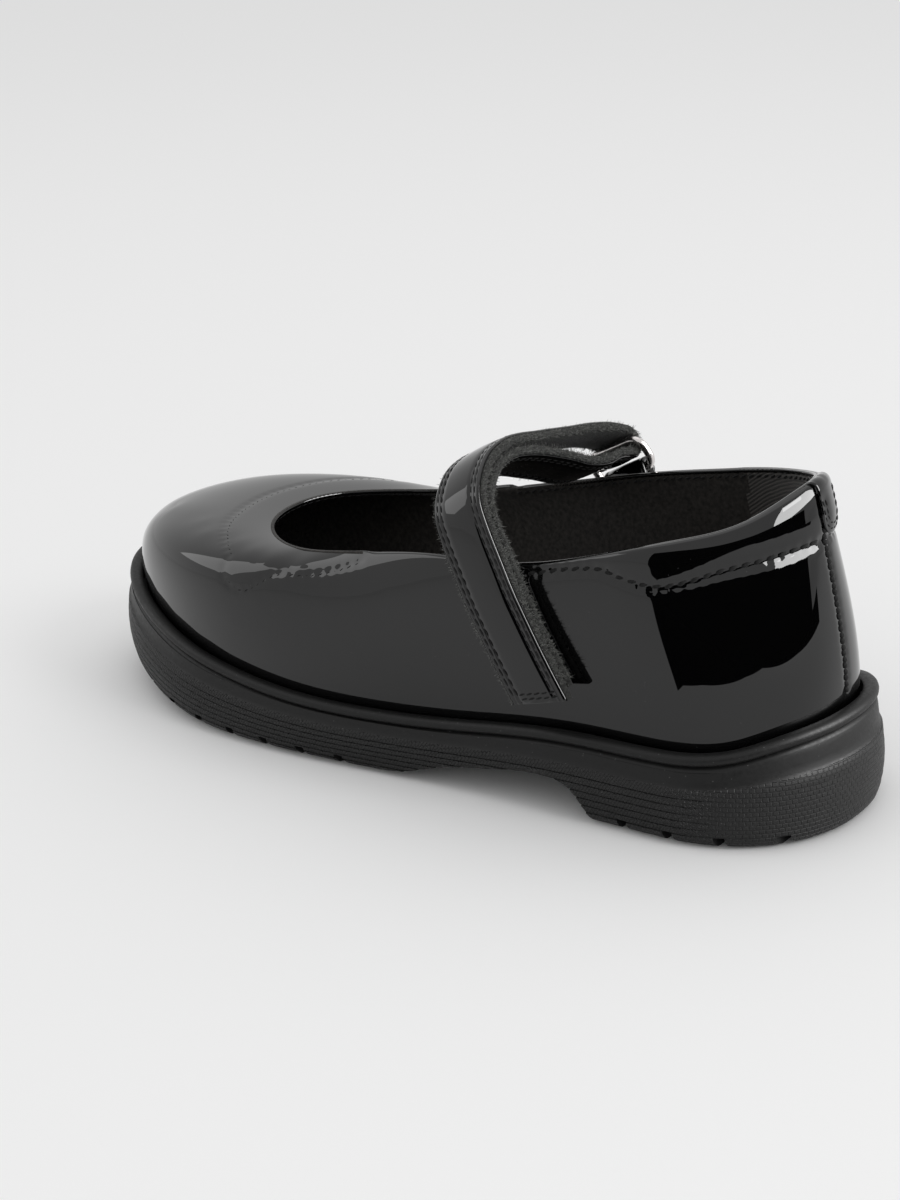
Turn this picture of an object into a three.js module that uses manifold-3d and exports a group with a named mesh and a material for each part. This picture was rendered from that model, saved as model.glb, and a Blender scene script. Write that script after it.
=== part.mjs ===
// Child's mary jane shoe, left foot: patent upper on a cleated unit sole, with a strap that runs
// through a wire ring on the medial side and folds back over itself. Millimetres, +Z up,
// +X towards the toe, +Y to the wearer's left, which is the lateral side. The origin is on the
// ground under the middle of the box round the shoe.
import * as THREE from 'three';
import { mergeVertices } from 'three/addons/utils/BufferGeometryUtils.js';
import Module from 'manifold-3d';

const wasm = await Module();
wasm.setup();

// ---------------------------------------------------------------- driving dimensions
const SOLE_LENGTH = 231;        // back of the heel to the tip of the toe
const WALL = 2.0;               // upper leather with its lining
const TUCK = 3.6;               // how far the upper goes down inside the rim of the sole
const PLATFORM = 4.0;           // seat of the upper and insole, below the rim of the sole
const GAP = 0.3;                // between pieces that touch
const STAND_OFF = 0.4;          // between the quarter and the strap or tab that lies on it
const FEATHER = -5.9;           // foot of the upper, from the widest edge of the sole
const HEEL_ROUND = 37;          // length over which the outline closes round the heel
const TOE_ROUND = 60;           // and round the toe
const TOE_CENTRE = -5;          // the tip of the toe lies towards the medial side
const TOE_SPRING = 11;
const SPRING_START = 160;       // the forefoot lies on the ground up to here
const HEEL_BREAST = 54.5;       // front of the heel on the ground
const FOREFOOT_START = 117;     // the arch comes down to the ground here
const CUT_WIDTH = 120;          // cutters that pass right across the sole

const OPENING_BACK = 15;        // top line at the back seam
const OPENING_FRONT = 171.5;    // front of the throat
const OPENING_BACK_ROUND = 32;
const OPENING_BACK_POWER = 1.75; // the top line narrows at the back seam
const END_POWER = 2.15;
const OPENING_FRONT_ROUND = 34;
const THROAT_CENTRE = -2;

const SOCK_THICK = 3.6;         // insole with its cover
const SOCK_EDGE = { up: 0.8, in: 1.2 }; // bevel round its top
const SOCK_CLEARANCE = 0.7;     // between the insole and the lining

const STRAP_WIDTH = 15.4;
const STRAP_THICK = 2.7;        // patent face with its loop lining
const STRAP_TILT = 0.53;        // forward run of the strap for each millimetre it rises
const STRAP_SKEW = 0.088;       // forward run for each millimetre towards the medial side
const STRAP_FOOT = 52.3;        // where the strap's middle line would meet the ground
const STRAP_END = { x: 65.6, z: 30.6, lean: 0.24 }; // middle of the cut across the free end
const STRAP_SEWN = 36;          // height where the inner run ends, sewn to the quarter
const STRAP_TWIST = { lateral: 0.0, medial: -0.2 }; // turn of its width from one side to the other
const STRAP_REACH = 37;         // from the middle of the shoe to where the turn is complete
const STRAP_HEIGHTS = [25.6, 31, 36, 42, 48, 54, 60]; // where it is laid on the lateral quarter
const QUARTER_HALF = 36;        // from the middle of the shoe to the quarters, about
const HOOK_GAP = 0.7;           // hooks and loops between the two runs of the strap

const RING_WIRE = 2.2;
const RING_LENGTH = 19.4;       // between the middles of the wire
const RING_CORNER = 3.3;
const RING_BARS = { upper: [-36.3, 68], lower: [-38.6, 60.8] }; // y and z of each bar's middle
const RING_CLEARANCE = 0.9;     // between the wire and what is folded round it
const TAB_WIDTH = 14.9;
const TAB_THICK = 1.3;          // one layer; the tab is doubled
const TAB_HEIGHTS = [43, 47, 51, 55]; // where it is laid on the medial quarter, from its end up
const TAB_CLEARANCE = 0.5;      // between the wire and the eye of the tab
const TAB_EYE = 5;              // length over which the tab widens to its eye
const BACK_TAB_THICK = 1.3;

// The strap's middle line above the top line, as seen along the shoe, from the lateral side over
// the instep towards the ring, with the gap between its two runs. Below it, the strap follows the
// lateral quarter.
const STRAP_ARCH = [
  { y: 36.6, z: 68, gap: 0.7 }, { y: 35, z: 73, gap: 0.7 }, { y: 30.5, z: 76.7, gap: 0.7 },
  { y: 24.5, z: 79.2, gap: 0.7 }, { y: 17, z: 79.9, gap: 0.8 }, { y: 10.7, z: 79.1, gap: 1.2 },
  { y: 4.6, z: 77.7, gap: 1.8 }, { y: -1.5, z: 76.1, gap: 3.0 }, { y: -8, z: 74.3, gap: 4.4 },
  { y: -14.5, z: 72.4, gap: 6.2 }, { y: -22, z: 70.9, gap: 6.6 }, { y: -29.5, z: 69.9, gap: 5.0 },
];

// Outline of the patch at the back seam, seen from behind: y and z of its corners, with the
// lower ones rounded.
const BACK_TAB = { medial: -9.5, lateral: 1.5, bottom: 68, round: 4.5 };

// The widest edge of the sole seen from above, with half widths either side of the heel's middle.
const OUTLINE = [
  { at: 0, lateral: 35.5, medial: 33.0 },
  { at: 45, lateral: 37.0, medial: 34.0 },
  { at: 75, lateral: 37.6, medial: 32.6 },
  { at: 100, lateral: 39.0, medial: 32.4 },
  { at: 130, lateral: 42.4, medial: 36.2 },
  { at: 155, lateral: 43.6, medial: 40.0 },
  { at: 175, lateral: 42.4, medial: 41.5 },
  { at: 200, lateral: 38.5, medial: 41.0 },
  { at: 231, lateral: 33.0, medial: 38.5 },
];

// Height of the sole's rim above the ground.
const RIM = [
  { at: 0, height: 28.9 }, { at: 8, height: 27.2 }, { at: 18, height: 24.3 },
  { at: 32, height: 22.4 }, { at: 45, height: 21.9 }, { at: 58, height: 21.7 },
  { at: 75, height: 20.4 }, { at: 97, height: 17.6 }, { at: 120, height: 16.4 },
  { at: 145, height: 17.2 }, { at: 170, height: 20.6 }, { at: 200, height: 26.6 },
  { at: 231, height: 32.0 },
];

// Top line, as the half width and height on each side.
const OPENING = [
  { at: 15, lateral: 29.5, medial: 28.0, latHeight: 80.6, medHeight: 80.8 },
  { at: 20, lateral: 29.6, medial: 28.0, latHeight: 76.4, medHeight: 78.6 },
  { at: 34, lateral: 30.2, medial: 28.2, latHeight: 71.8, medHeight: 74.4 },
  { at: 52, lateral: 31.2, medial: 28.8, latHeight: 67.0, medHeight: 70.8 },
  { at: 75, lateral: 33.4, medial: 31.0, latHeight: 61.4, medHeight: 66.0 },
  { at: 99, lateral: 33.8, medial: 32.2, latHeight: 60.0, medHeight: 60.2 },
  { at: 119, lateral: 32.6, medial: 31.6, latHeight: 57.0, medHeight: 55.8 },
  { at: 146, lateral: 29.5, medial: 29.5, latHeight: 52.2, medHeight: 50.8 },
  { at: 171.5, lateral: 26.0, medial: 27.0, latHeight: 51.0, medHeight: 51.0 },
];

// Handles of the curve from the foot of the upper to its top line: up and out from the foot,
// then down and out from the top line.
const RIBS = [
  { at: 5, up: 18, out: 0.2, down: 20, spread: 4.2 },
  { at: 35, up: 18, out: 2.4, down: 17, spread: 3.4 },
  { at: 75, up: 15, out: 3.0, down: 14, spread: 3.2 },
  { at: 110, up: 14, out: 3.4, down: 12, spread: 4.4 },
  { at: 150, up: 15, out: 3.6, down: 9, spread: 9 },
  { at: 190, up: 18, out: 3.4, down: 1.5, spread: 22 },
  { at: 226, up: 21, out: 2.8, down: -2.0, spread: 33 },
];

// Side of the sole from the ground up: share of its height, millimetres up, and outwards from
// the widest edge.
const SOLE_SIDE = [
  { share: 0, up: 0, out: -4.4 },
  { share: 0, up: 0.9, out: -2.2 },
  { share: 0, up: 2.8, out: -0.8 },
  { share: 0.3, up: 0.5, out: 0 },
  { share: 0.62, up: 0, out: -0.7 },
  { share: 0.8, up: 0, out: -1.7 },
  { share: 1, up: -3.3, out: -2.3 },
  { share: 1, up: -2.9, out: -3.2 },
  { share: 1, up: -2.5, out: -2.3 },
  { share: 1, up: -1.3, out: -1.8 },
  { share: 1, up: -0.3, out: -2.5 },
  { share: 1, up: 0, out: -3.5 },
  { share: 1, up: -0.6, out: -4.2 },
  { share: 1, up: -PLATFORM, out: -5.2 },
];

const UNDERSIDE = [
  { at: HEEL_BREAST, height: 0 }, { at: 56, height: 3.6 }, { at: 58.6, height: 7.4 },
  { at: 63, height: 9.8 }, { at: 71, height: 10.2 }, { at: 82, height: 8.6 },
  { at: 95, height: 6.2 }, { at: 108, height: 2.2 }, { at: FOREFOOT_START, height: 0 },
];

const ARC_STEPS = 8;            // points round the heel, and round the toe, on each side
const SIDE_STEPS = 20;          // points along each side between them
const RIB_STEPS = 10;

const LUG_PITCH = 12;
const LUG_GROOVE = 2;
const LUG_DEPTH = 2.6;
const HEEL_LUGS = 4;
const FIRST_HEEL_GROOVE = 10;
const FOREFOOT_LUGS = 7;
const CHANNEL_LUGS = 3;         // lugs of the forefoot that the middle channel passes
const FIRST_FOREFOOT_GROOVE = 127;
const CHANNEL_WIDTH = 3;

// ---------------------------------------------------------------- small mathematics

// A natural cubic spline through one column of a table.
function spline(rows, column) {
  const x = rows.map((row) => row.at);
  const y = rows.map((row) => row[column]);
  const n = x.length;
  const bend = new Array(n).fill(0);
  const carry = new Array(n).fill(0);
  for (let i = 1; i < n - 1; i++) {
    const left = x[i] - x[i - 1];
    const right = x[i + 1] - x[i];
    const ratio = left / (left + right);
    const p = ratio * bend[i - 1] + 2;
    bend[i] = (ratio - 1) / p;
    const turn = (y[i + 1] - y[i]) / right - (y[i] - y[i - 1]) / left;
    carry[i] = (6 * turn / (left + right) - ratio * carry[i - 1]) / p;
  }
  bend[n - 1] = 0;
  for (let i = n - 2; i >= 0; i--) bend[i] = bend[i] * bend[i + 1] + carry[i];
  bend[0] = 0;
  return (at) => {
    const v = Math.min(Math.max(at, x[0]), x[n - 1]);
    let k = 0;
    while (k < n - 2 && v > x[k + 1]) k++;
    const h = x[k + 1] - x[k];
    const a = (x[k + 1] - v) / h;
    const b = (v - x[k]) / h;
    return a * y[k] + b * y[k + 1]
      + ((a ** 3 - a) * bend[k] + (b ** 3 - b) * bend[k + 1]) * h * h / 6;
  };
}

const outlineHalf = { 1: spline(OUTLINE, 'lateral'), '-1': spline(OUTLINE, 'medial') };
const openingHalf = { 1: spline(OPENING, 'lateral'), '-1': spline(OPENING, 'medial') };
const openingHeight = { 1: spline(OPENING, 'latHeight'), '-1': spline(OPENING, 'medHeight') };
const rimHeight = spline(RIM, 'height');
const ribUp = spline(RIBS, 'up');
const ribOut = spline(RIBS, 'out');
const ribDown = spline(RIBS, 'down');
const ribSpread = spline(RIBS, 'spread');

function ground(x) {
  const past = Math.max(0, x - SPRING_START) / (SOLE_LENGTH - SPRING_START);
  return TOE_SPRING * past ** 2;
}

// Points of one side of a closed plan curve, from its back to its front: a quarter of a
// superellipse at each end and even steps between them.
function sidePoints(start, end, backRound, backPower, frontRound, middle, half, side) {
  const points = [];
  const round = (angle, power) => (1 - Math.cos(angle) ** power) ** (1 / power);
  for (let i = 0; i <= ARC_STEPS; i++) {
    const angle = (i / ARC_STEPS) * Math.PI / 2;
    const x = start + backRound * (1 - Math.cos(angle));
    points.push([x, side * half(x) * round(angle, backPower)]);
  }
  for (let i = 1; i < SIDE_STEPS; i++) {
    const x = start + backRound + (end - frontRound - start - backRound) * i / SIDE_STEPS;
    points.push([x, side * half(x)]);
  }
  for (let i = 0; i <= ARC_STEPS; i++) {
    const angle = (1 - i / ARC_STEPS) * Math.PI / 2;
    const x = end - frontRound * (1 - Math.cos(angle));
    const open = round(angle, END_POWER);
    points.push([x, side * half(x) * open + middle * (1 - open)]);
  }
  return points;
}

// A ring of points: the lateral side from heel to toe, then the medial side back to the heel.
function ring(start, end, backRound, backPower, frontRound, middle, half) {
  const [lateral, medial] = [1, -1].map((side) =>
    sidePoints(start, end, backRound, backPower, frontRound, middle, half[side], side));
  return [...lateral, ...medial.slice(1, -1).reverse()].map(([x, y]) => new THREE.Vector2(x, y));
}

// Outward normal of a closed ring at each of its points.
function ringNormals(points) {
  const count = points.length;
  return points.map((_, i) => {
    const before = points[(i + count - 1) % count];
    const after = points[(i + 1) % count];
    const along = after.clone().sub(before).normalize();
    return new THREE.Vector2(-along.y, along.x);
  });
}

const soleRing = ring(0, SOLE_LENGTH, HEEL_ROUND, END_POWER, TOE_ROUND, TOE_CENTRE,
  outlineHalf);
const soleNormals = ringNormals(soleRing);
const openingRing = ring(OPENING_BACK, OPENING_FRONT, OPENING_BACK_ROUND, OPENING_BACK_POWER,
  OPENING_FRONT_ROUND, THROAT_CENTRE, openingHalf);
const openingNormals = ringNormals(openingRing);
const RING_COUNT = soleRing.length;

// The ring at a distance outside the widest edge of the sole, with its height from a function
// of the station along the shoe.
function edge(out, heightAt) {
  return soleRing.map((point, i) => {
    const x = point.x + soleNormals[i].x * out;
    const y = point.y + soleNormals[i].y * out;
    return new THREE.Vector3(x, y, heightAt(point.x));
  });
}

// ---------------------------------------------------------------- solids from points

// Triangles between rows of points, each row a closed ring. The rows run from the outside to the
// inside of the solid; a last row that meets the first closes it, and caps close the others.
function loftTriangles(rows, closed) {
  const count = rows[0].length;
  const triangles = [];
  const last = closed ? rows.length : rows.length - 1;
  for (let r = 0; r < last; r++) {
    const next = (r + 1) % rows.length;
    for (let i = 0; i < count; i++) {
      const j = (i + 1) % count;
      const [a, b, c, d] = [r * count + i, r * count + j, next * count + j, next * count + i];
      triangles.push([a, c, b], [a, d, c]);
    }
  }
  return triangles;
}

// Strips across a ring that is the same shape either side of its first and middle points.
function capTriangles(offset, count, upwards) {
  const triangles = [];
  const half = count / 2;
  for (let i = 0; i < half; i++) {
    const [a, b] = [i, i + 1];
    const [c, d] = [(count - i - 1) % count, (count - i) % count];
    if (d !== a) triangles.push([a, c, d]);
    if (b !== c) triangles.push([a, b, c]);
  }
  return triangles.map(([p, q, r]) => (upwards ? [p, r, q] : [p, q, r])
    .map((index) => index + offset));
}

function solid(points, triangles) {
  const geometry = new THREE.BufferGeometry();
  geometry.setAttribute('position',
    new THREE.Float32BufferAttribute(points.flatMap((p) => [p.x, p.y, p.z]), 3));
  geometry.setIndex(triangles.flat());
  return geometry;
}

function volumeOf(geometry) {
  const position = geometry.getAttribute('position');
  const index = geometry.getIndex();
  const [a, b, c] = [new THREE.Vector3(), new THREE.Vector3(), new THREE.Vector3()];
  let sum = 0;
  for (let i = 0; i < index.count; i += 3) {
    a.fromBufferAttribute(position, index.getX(i));
    b.fromBufferAttribute(position, index.getX(i + 1));
    c.fromBufferAttribute(position, index.getX(i + 2));
    sum += a.dot(b.cross(c)) / 6;
  }
  return sum;
}

// The same solid with its faces pointing out.
function facingOut(geometry) {
  if (volumeOf(geometry) > 0) return geometry;
  const index = geometry.getIndex();
  for (let i = 0; i < index.count; i += 3) {
    const first = index.getX(i);
    index.setX(i, index.getX(i + 1));
    index.setX(i + 1, first);
  }
  return geometry;
}

function toManifold(geometry) {
  const bare = geometry.clone();
  bare.deleteAttribute('normal');
  bare.deleteAttribute('uv');
  const merged = facingOut(mergeVertices(bare, 1e-4));
  return new wasm.Manifold(new wasm.Mesh({
    numProp: 3,
    vertProperties: new Float32Array(merged.getAttribute('position').array),
    triVerts: new Uint32Array(merged.getIndex().array),
  }));
}

function fromManifold(manifold) {
  const mesh = manifold.getMesh();
  const geometry = new THREE.BufferGeometry();
  geometry.setAttribute('position', new THREE.BufferAttribute(mesh.vertProperties, 3));
  geometry.setIndex(new THREE.BufferAttribute(mesh.triVerts, 1));
  return geometry;
}

// ---------------------------------------------------------------- sole

function soleBody() {
  const rows = SOLE_SIDE.map(({ share, up, out }) => edge(out, (x) => {
    const low = ground(x);
    return low + share * (rimHeight(x) - low) + up;
  }));
  const triangles = loftTriangles(rows, false);
  triangles.push(...capTriangles(0, RING_COUNT, false));
  triangles.push(...capTriangles((rows.length - 1) * RING_COUNT, RING_COUNT, true));
  return toManifold(solid(rows.flat(), triangles));
}

// The space under the waist, between the heel and the forefoot.
function archCutter() {
  const below = -5;
  const shape = new THREE.Shape([
    new THREE.Vector2(HEEL_BREAST - 1, below),
    ...UNDERSIDE.map(({ at, height }) => new THREE.Vector2(at, height)),
    new THREE.Vector2(FOREFOOT_START + 1, below),
  ]);
  const geometry = new THREE.ExtrudeGeometry(shape, { depth: CUT_WIDTH, bevelEnabled: false });
  geometry.rotateX(Math.PI / 2);
  geometry.translate(0, CUT_WIDTH / 2, 0);
  return toManifold(geometry);
}

// A groove across the tread, standing as deep in the sole as the lugs are high.
function grooveCutter(x) {
  const groove = new THREE.BoxGeometry(LUG_GROOVE, CUT_WIDTH, 2 * LUG_DEPTH);
  groove.translate(x, 0, ground(x));
  return toManifold(groove);
}

// A channel along the middle of the tread.
function channelCutter(start, end) {
  const channel = new THREE.BoxGeometry(end - start, CHANNEL_WIDTH, 2 * LUG_DEPTH);
  channel.translate((start + end) / 2, 0, 0);
  return toManifold(channel);
}

function makeSole() {
  let body = soleBody().subtract(archCutter());
  for (let i = 0; i < HEEL_LUGS; i++) {
    body = body.subtract(grooveCutter(FIRST_HEEL_GROOVE + i * LUG_PITCH));
  }
  for (let i = 0; i < FOREFOOT_LUGS; i++) {
    body = body.subtract(grooveCutter(FIRST_FOREFOOT_GROOVE + i * LUG_PITCH));
  }
  const lastHeel = FIRST_HEEL_GROOVE + (HEEL_LUGS - 1) * LUG_PITCH;
  body = body.subtract(channelCutter(FIRST_HEEL_GROOVE, lastHeel));
  const channelEnd = FIRST_FOREFOOT_GROOVE + CHANNEL_LUGS * LUG_PITCH;
  body = body.subtract(channelCutter(FIRST_FOREFOOT_GROOVE, channelEnd));
  return fromManifold(body);
}

// ---------------------------------------------------------------- upper

const footRing = edge(FEATHER, (x) => rimHeight(x) - TUCK);
const topRing = openingRing.map((point, i) => {
  const side = i <= RING_COUNT / 2 ? 1 : -1;
  return new THREE.Vector3(point.x, point.y, openingHeight[side](point.x));
});

// One rib of the upper's outside, from its foot (share 0) to the top line (share 1).
function ribPoint(i, share) {
  const x = soleRing[i].x;
  const foot = footRing[i];
  const top = topRing[i];
  const footOut = soleNormals[i];
  const topOut = openingNormals[i];
  const low = new THREE.Vector3(foot.x + footOut.x * ribOut(x), foot.y + footOut.y * ribOut(x),
    foot.z + ribUp(x));
  const high = new THREE.Vector3(top.x + topOut.x * ribSpread(x),
    top.y + topOut.y * ribSpread(x), top.z - ribDown(x));
  return new THREE.CubicBezierCurve3(foot, low, high, top).getPoint(share);
}

const outside = Array.from({ length: RIB_STEPS + 1 }, (_, r) =>
  footRing.map((_, i) => ribPoint(i, r / RIB_STEPS)));

// Outward normal of the upper at a row and rib, from its neighbours.
function upperNormal(r, i) {
  const along = outside[r][(i + 1) % RING_COUNT].clone()
    .sub(outside[r][(i + RING_COUNT - 1) % RING_COUNT]);
  const up = outside[Math.min(r + 1, RIB_STEPS)][i].clone()
    .sub(outside[Math.max(r - 1, 0)][i]);
  return up.cross(along).normalize();
}

function offsetRow(r, distance) {
  return outside[r].map((point, i) => point.clone().addScaledVector(upperNormal(r, i), distance));
}

function makeUpper() {
  const rows = [...outside];
  for (let r = RIB_STEPS; r >= 0; r--) {
    const row = offsetRow(r, -WALL);
    if (r === 0) row.forEach((point, i) => { point.z = footRing[i].z; });
    rows.push(row);
  }
  return facingOut(solid(rows.flat(), loftTriangles(rows, true)));
}

// ---------------------------------------------------------------- insole

function makeInsole() {
  const inset = FEATHER - WALL - SOCK_CLEARANCE;
  const seat = (x) => rimHeight(x) - PLATFORM + GAP;
  const rows = [
    edge(inset, seat),
    edge(inset, (x) => seat(x) + SOCK_THICK - SOCK_EDGE.up),
    edge(inset - SOCK_EDGE.in, (x) => seat(x) + SOCK_THICK),
  ];
  const triangles = loftTriangles(rows, false);
  triangles.push(...capTriangles(0, RING_COUNT, false));
  triangles.push(...capTriangles(2 * RING_COUNT, RING_COUNT, true));
  return facingOut(solid(rows.flat(), triangles));
}

// ---------------------------------------------------------------- strap, ring and tabs

// The strap lies in a leaning plane: ALONG and RISE span it, and ACROSS is the strap's width.
const planeOrigin = new THREE.Vector3(STRAP_FOOT, 0, 0);
const ACROSS = new THREE.Vector3(1, STRAP_SKEW, -STRAP_TILT).normalize();
const RISE = new THREE.Vector3(STRAP_TILT, 0, 1).normalize();
const ALONG = RISE.clone().cross(ACROSS).normalize();

// Position in the strap's plane of the point with this y and z.
function inPlane(y, z) {
  const point = new THREE.Vector3(STRAP_TILT * z - STRAP_SKEW * y, y, z);
  return new THREE.Vector2(point.dot(ALONG), point.dot(RISE));
}

// Direction of the strap's width at a distance along the plane: it turns with the shoe's sides.
function widthAt(along) {
  const share = along > 0 ? STRAP_TWIST.lateral : STRAP_TWIST.medial;
  const turn = share * Math.min(Math.abs(along) / STRAP_REACH, 1);
  return ACROSS.clone().addScaledVector(ALONG, turn).normalize();
}

// A flat shape drawn in the strap's plane, thickened to the strap's width.
function thicken(shape, width) {
  const geometry = new THREE.ExtrudeGeometry(shape, { depth: width, bevelEnabled: false });
  const position = geometry.getAttribute('position');
  for (let i = 0; i < position.count; i++) {
    const [along, rise] = [position.getX(i), position.getY(i)];
    const point = planeOrigin.clone()
      .addScaledVector(ALONG, along)
      .addScaledVector(RISE, rise)
      .addScaledVector(widthAt(along), position.getZ(i) - width / 2);
    position.setXYZ(i, point.x, point.y, point.z);
  }
  return fromManifold(toManifold(geometry));
}

// y of the upper's outside at the strap's middle line and its two edges, whichever stands
// out furthest from the middle of the shoe.
function quarterBeside(side, z, width) {
  const caster = new THREE.Raycaster();
  const y = side * QUARTER_HALF;
  const middle = new THREE.Vector3(STRAP_FOOT + STRAP_TILT * z - STRAP_SKEW * y, y, z);
  const across = widthAt(y);
  const found = [-1, 0, 1].map((edgeSide) => {
    const from = middle.clone().addScaledVector(across, edgeSide * width / 2);
    const lean = from.y - y;
    from.y = side * CUT_WIDTH;
    caster.set(from, new THREE.Vector3(0, -side, 0));
    const hit = caster.intersectObject(upperMesh)[0];
    return hit ? side * (hit.point.y - lean) : 0;
  });
  return side * Math.max(...found);
}

// Point beside a curve that is drawn in the strap's plane.
function sideways(curve, share, distance) {
  const tangent = curve.getTangentAt(share);
  const side = new THREE.Vector2(tangent.y, -tangent.x).normalize();
  const point = curve.getPointAt(share);
  return new THREE.Vector2(point.x, point.y).addScaledVector(side, distance);
}

function arcPoints(centre, radius, from, to, steps) {
  return Array.from({ length: steps + 1 }, (_, i) => {
    const angle = from + (to - from) * i / steps;
    return new THREE.Vector2(centre.x + radius * Math.cos(angle),
      centre.y + radius * Math.sin(angle));
  });
}

// The strap seen along its width: a hairpin with its bend round the ring's upper bar. The third
// number of each point on its middle line is half the gap between the runs.
function makeStrap() {
  const beside = STRAP_THICK + HOOK_GAP / 2 + STAND_OFF;
  const bend = RING_WIRE / 2 + RING_CLEARANCE;
  const bar = inPlane(...RING_BARS.upper);
  const row = (point, gap) => new THREE.Vector3(point.x, point.y, gap / 2);
  const middle = new THREE.CatmullRomCurve3([
    ...STRAP_HEIGHTS.map((z) =>
      row(inPlane(quarterBeside(1, z, STRAP_WIDTH) + beside, z), HOOK_GAP)),
    ...STRAP_ARCH.map(({ y, z, gap }) => row(inPlane(y, z), gap)),
    row(bar, 2 * bend),
  ]);
  const length = middle.getLength();
  const steps = 48;
  const shares = Array.from({ length: steps + 1 }, (_, i) => i / steps);
  const sewn = shares.filter((share) => share * length >= STRAP_SEWN - STRAP_HEIGHTS[0]);
  const line = (list, side, thick) => list.map((share) =>
    sideways(middle, share, side * (middle.getPointAt(share).z + thick)));
  const end = middle.getTangentAt(1);
  const facing = Math.atan2(-end.x, end.y);
  const bendSteps = 12;
  const turn = (radius) =>
    arcPoints(bar, radius, facing + Math.PI, facing, bendSteps).slice(1, -1);
  const long = thicken(new THREE.Shape([
    ...line(sewn, -1, STRAP_THICK), ...turn(bend + STRAP_THICK),
    ...line(shares, 1, STRAP_THICK).reverse(),
    ...line(shares, 1, 0), ...turn(bend).reverse(), ...line(sewn, -1, 0).reverse(),
  ]), STRAP_WIDTH);
  const blade = { long: 60, across: 60, thick: 20 };
  const knife = new THREE.BoxGeometry(blade.long, blade.across, blade.thick);
  knife.translate(0, QUARTER_HALF, -blade.thick / 2);
  knife.rotateY(STRAP_END.lean);
  knife.translate(STRAP_END.x, 0, STRAP_END.z);
  return fromManifold(toManifold(long).subtract(toManifold(knife)));
}

// The tab seen along its width: two layers on the medial quarter, with an eye round the bar.
function makeRingTab() {
  const bar = inPlane(...RING_BARS.lower);
  const radius = RING_WIRE / 2 + TAB_CLEARANCE;
  const low = TAB_HEIGHTS.map((z) =>
    inPlane(quarterBeside(-1, z, TAB_WIDTH) - TAB_THICK - STAND_OFF, z));
  const middle = new THREE.SplineCurve([...low, bar]);
  const length = middle.getLength();
  const steps = 12;
  const head = radius + TAB_THICK;
  const shares = Array.from({ length: steps + 1 }, (_, i) => i / steps);
  const half = (share) => {
    const near = THREE.MathUtils.smoothstep(share * length, length - TAB_EYE, length);
    return TAB_THICK + (head - TAB_THICK) * near;
  };
  const line = (side) => shares.map((share) => sideways(middle, share, side * half(share)));
  const end = middle.getTangentAt(1);
  const facing = Math.atan2(-end.x, end.y);
  const headSteps = 12;
  const eyeSteps = 16;
  const shape = new THREE.Shape([
    ...line(-1), ...arcPoints(bar, head, facing + Math.PI, facing, headSteps).slice(1, -1),
    ...line(1).reverse(),
  ]);
  shape.holes.push(
    new THREE.Path(arcPoints(bar, radius, 0, 2 * Math.PI, eyeSteps).slice(0, -1)));
  return thicken(shape, TAB_WIDTH);
}

// A wire loop with rounded corners: circles round points of its middle line.
function makeRing() {
  const place = ([y, z]) => {
    const flat = inPlane(y, z);
    return planeOrigin.clone().addScaledVector(ALONG, flat.x).addScaledVector(RISE, flat.y);
  };
  const upper = place(RING_BARS.upper);
  const lower = place(RING_BARS.lower);
  const centre = upper.clone().add(lower).multiplyScalar(0.5);
  const rise = upper.clone().sub(lower);
  const height = rise.length();
  rise.normalize();
  const wide = widthAt(inPlane(...RING_BARS.upper).x);
  const face = wide.clone().cross(rise).normalize();
  const corners = [[1, 1], [-1, 1], [-1, -1], [1, -1]];
  const cornerSteps = 4;
  const sides = 10;
  const rows = corners.flatMap(([x, y], quarter) => {
    const middle = centre.clone()
      .addScaledVector(wide, x * (RING_LENGTH / 2 - RING_CORNER))
      .addScaledVector(rise, y * (height / 2 - RING_CORNER));
    return Array.from({ length: cornerSteps + 1 }, (_, i) => {
      const angle = (quarter + i / cornerSteps) * Math.PI / 2;
      const out = wide.clone().multiplyScalar(Math.cos(angle))
        .addScaledVector(rise, Math.sin(angle));
      const wire = middle.clone().addScaledVector(out, RING_CORNER);
      return Array.from({ length: sides }, (_, k) => {
        const round = (k / sides) * 2 * Math.PI;
        return wire.clone().addScaledVector(out, Math.cos(round) * RING_WIRE / 2)
          .addScaledVector(face, Math.sin(round) * RING_WIRE / 2);
      });
    });
  });
  return facingOut(solid(rows.flat(), loftTriangles(rows, true)));
}

// The upper made thicker by the same distance all round.
function grownUpper(distance) {
  const raised = (row) => row.map((point) => new THREE.Vector3(point.x, point.y,
    point.z + distance));
  const rows = outside.map((_, r) => offsetRow(r, distance));
  rows.push(raised(rows[RIB_STEPS]));
  rows.push(raised(offsetRow(RIB_STEPS, -WALL - distance)));
  for (let r = RIB_STEPS; r >= 0; r--) rows.push(offsetRow(r, -WALL - distance));
  return toManifold(solid(rows.flat(), loftTriangles(rows, true)));
}

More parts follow.
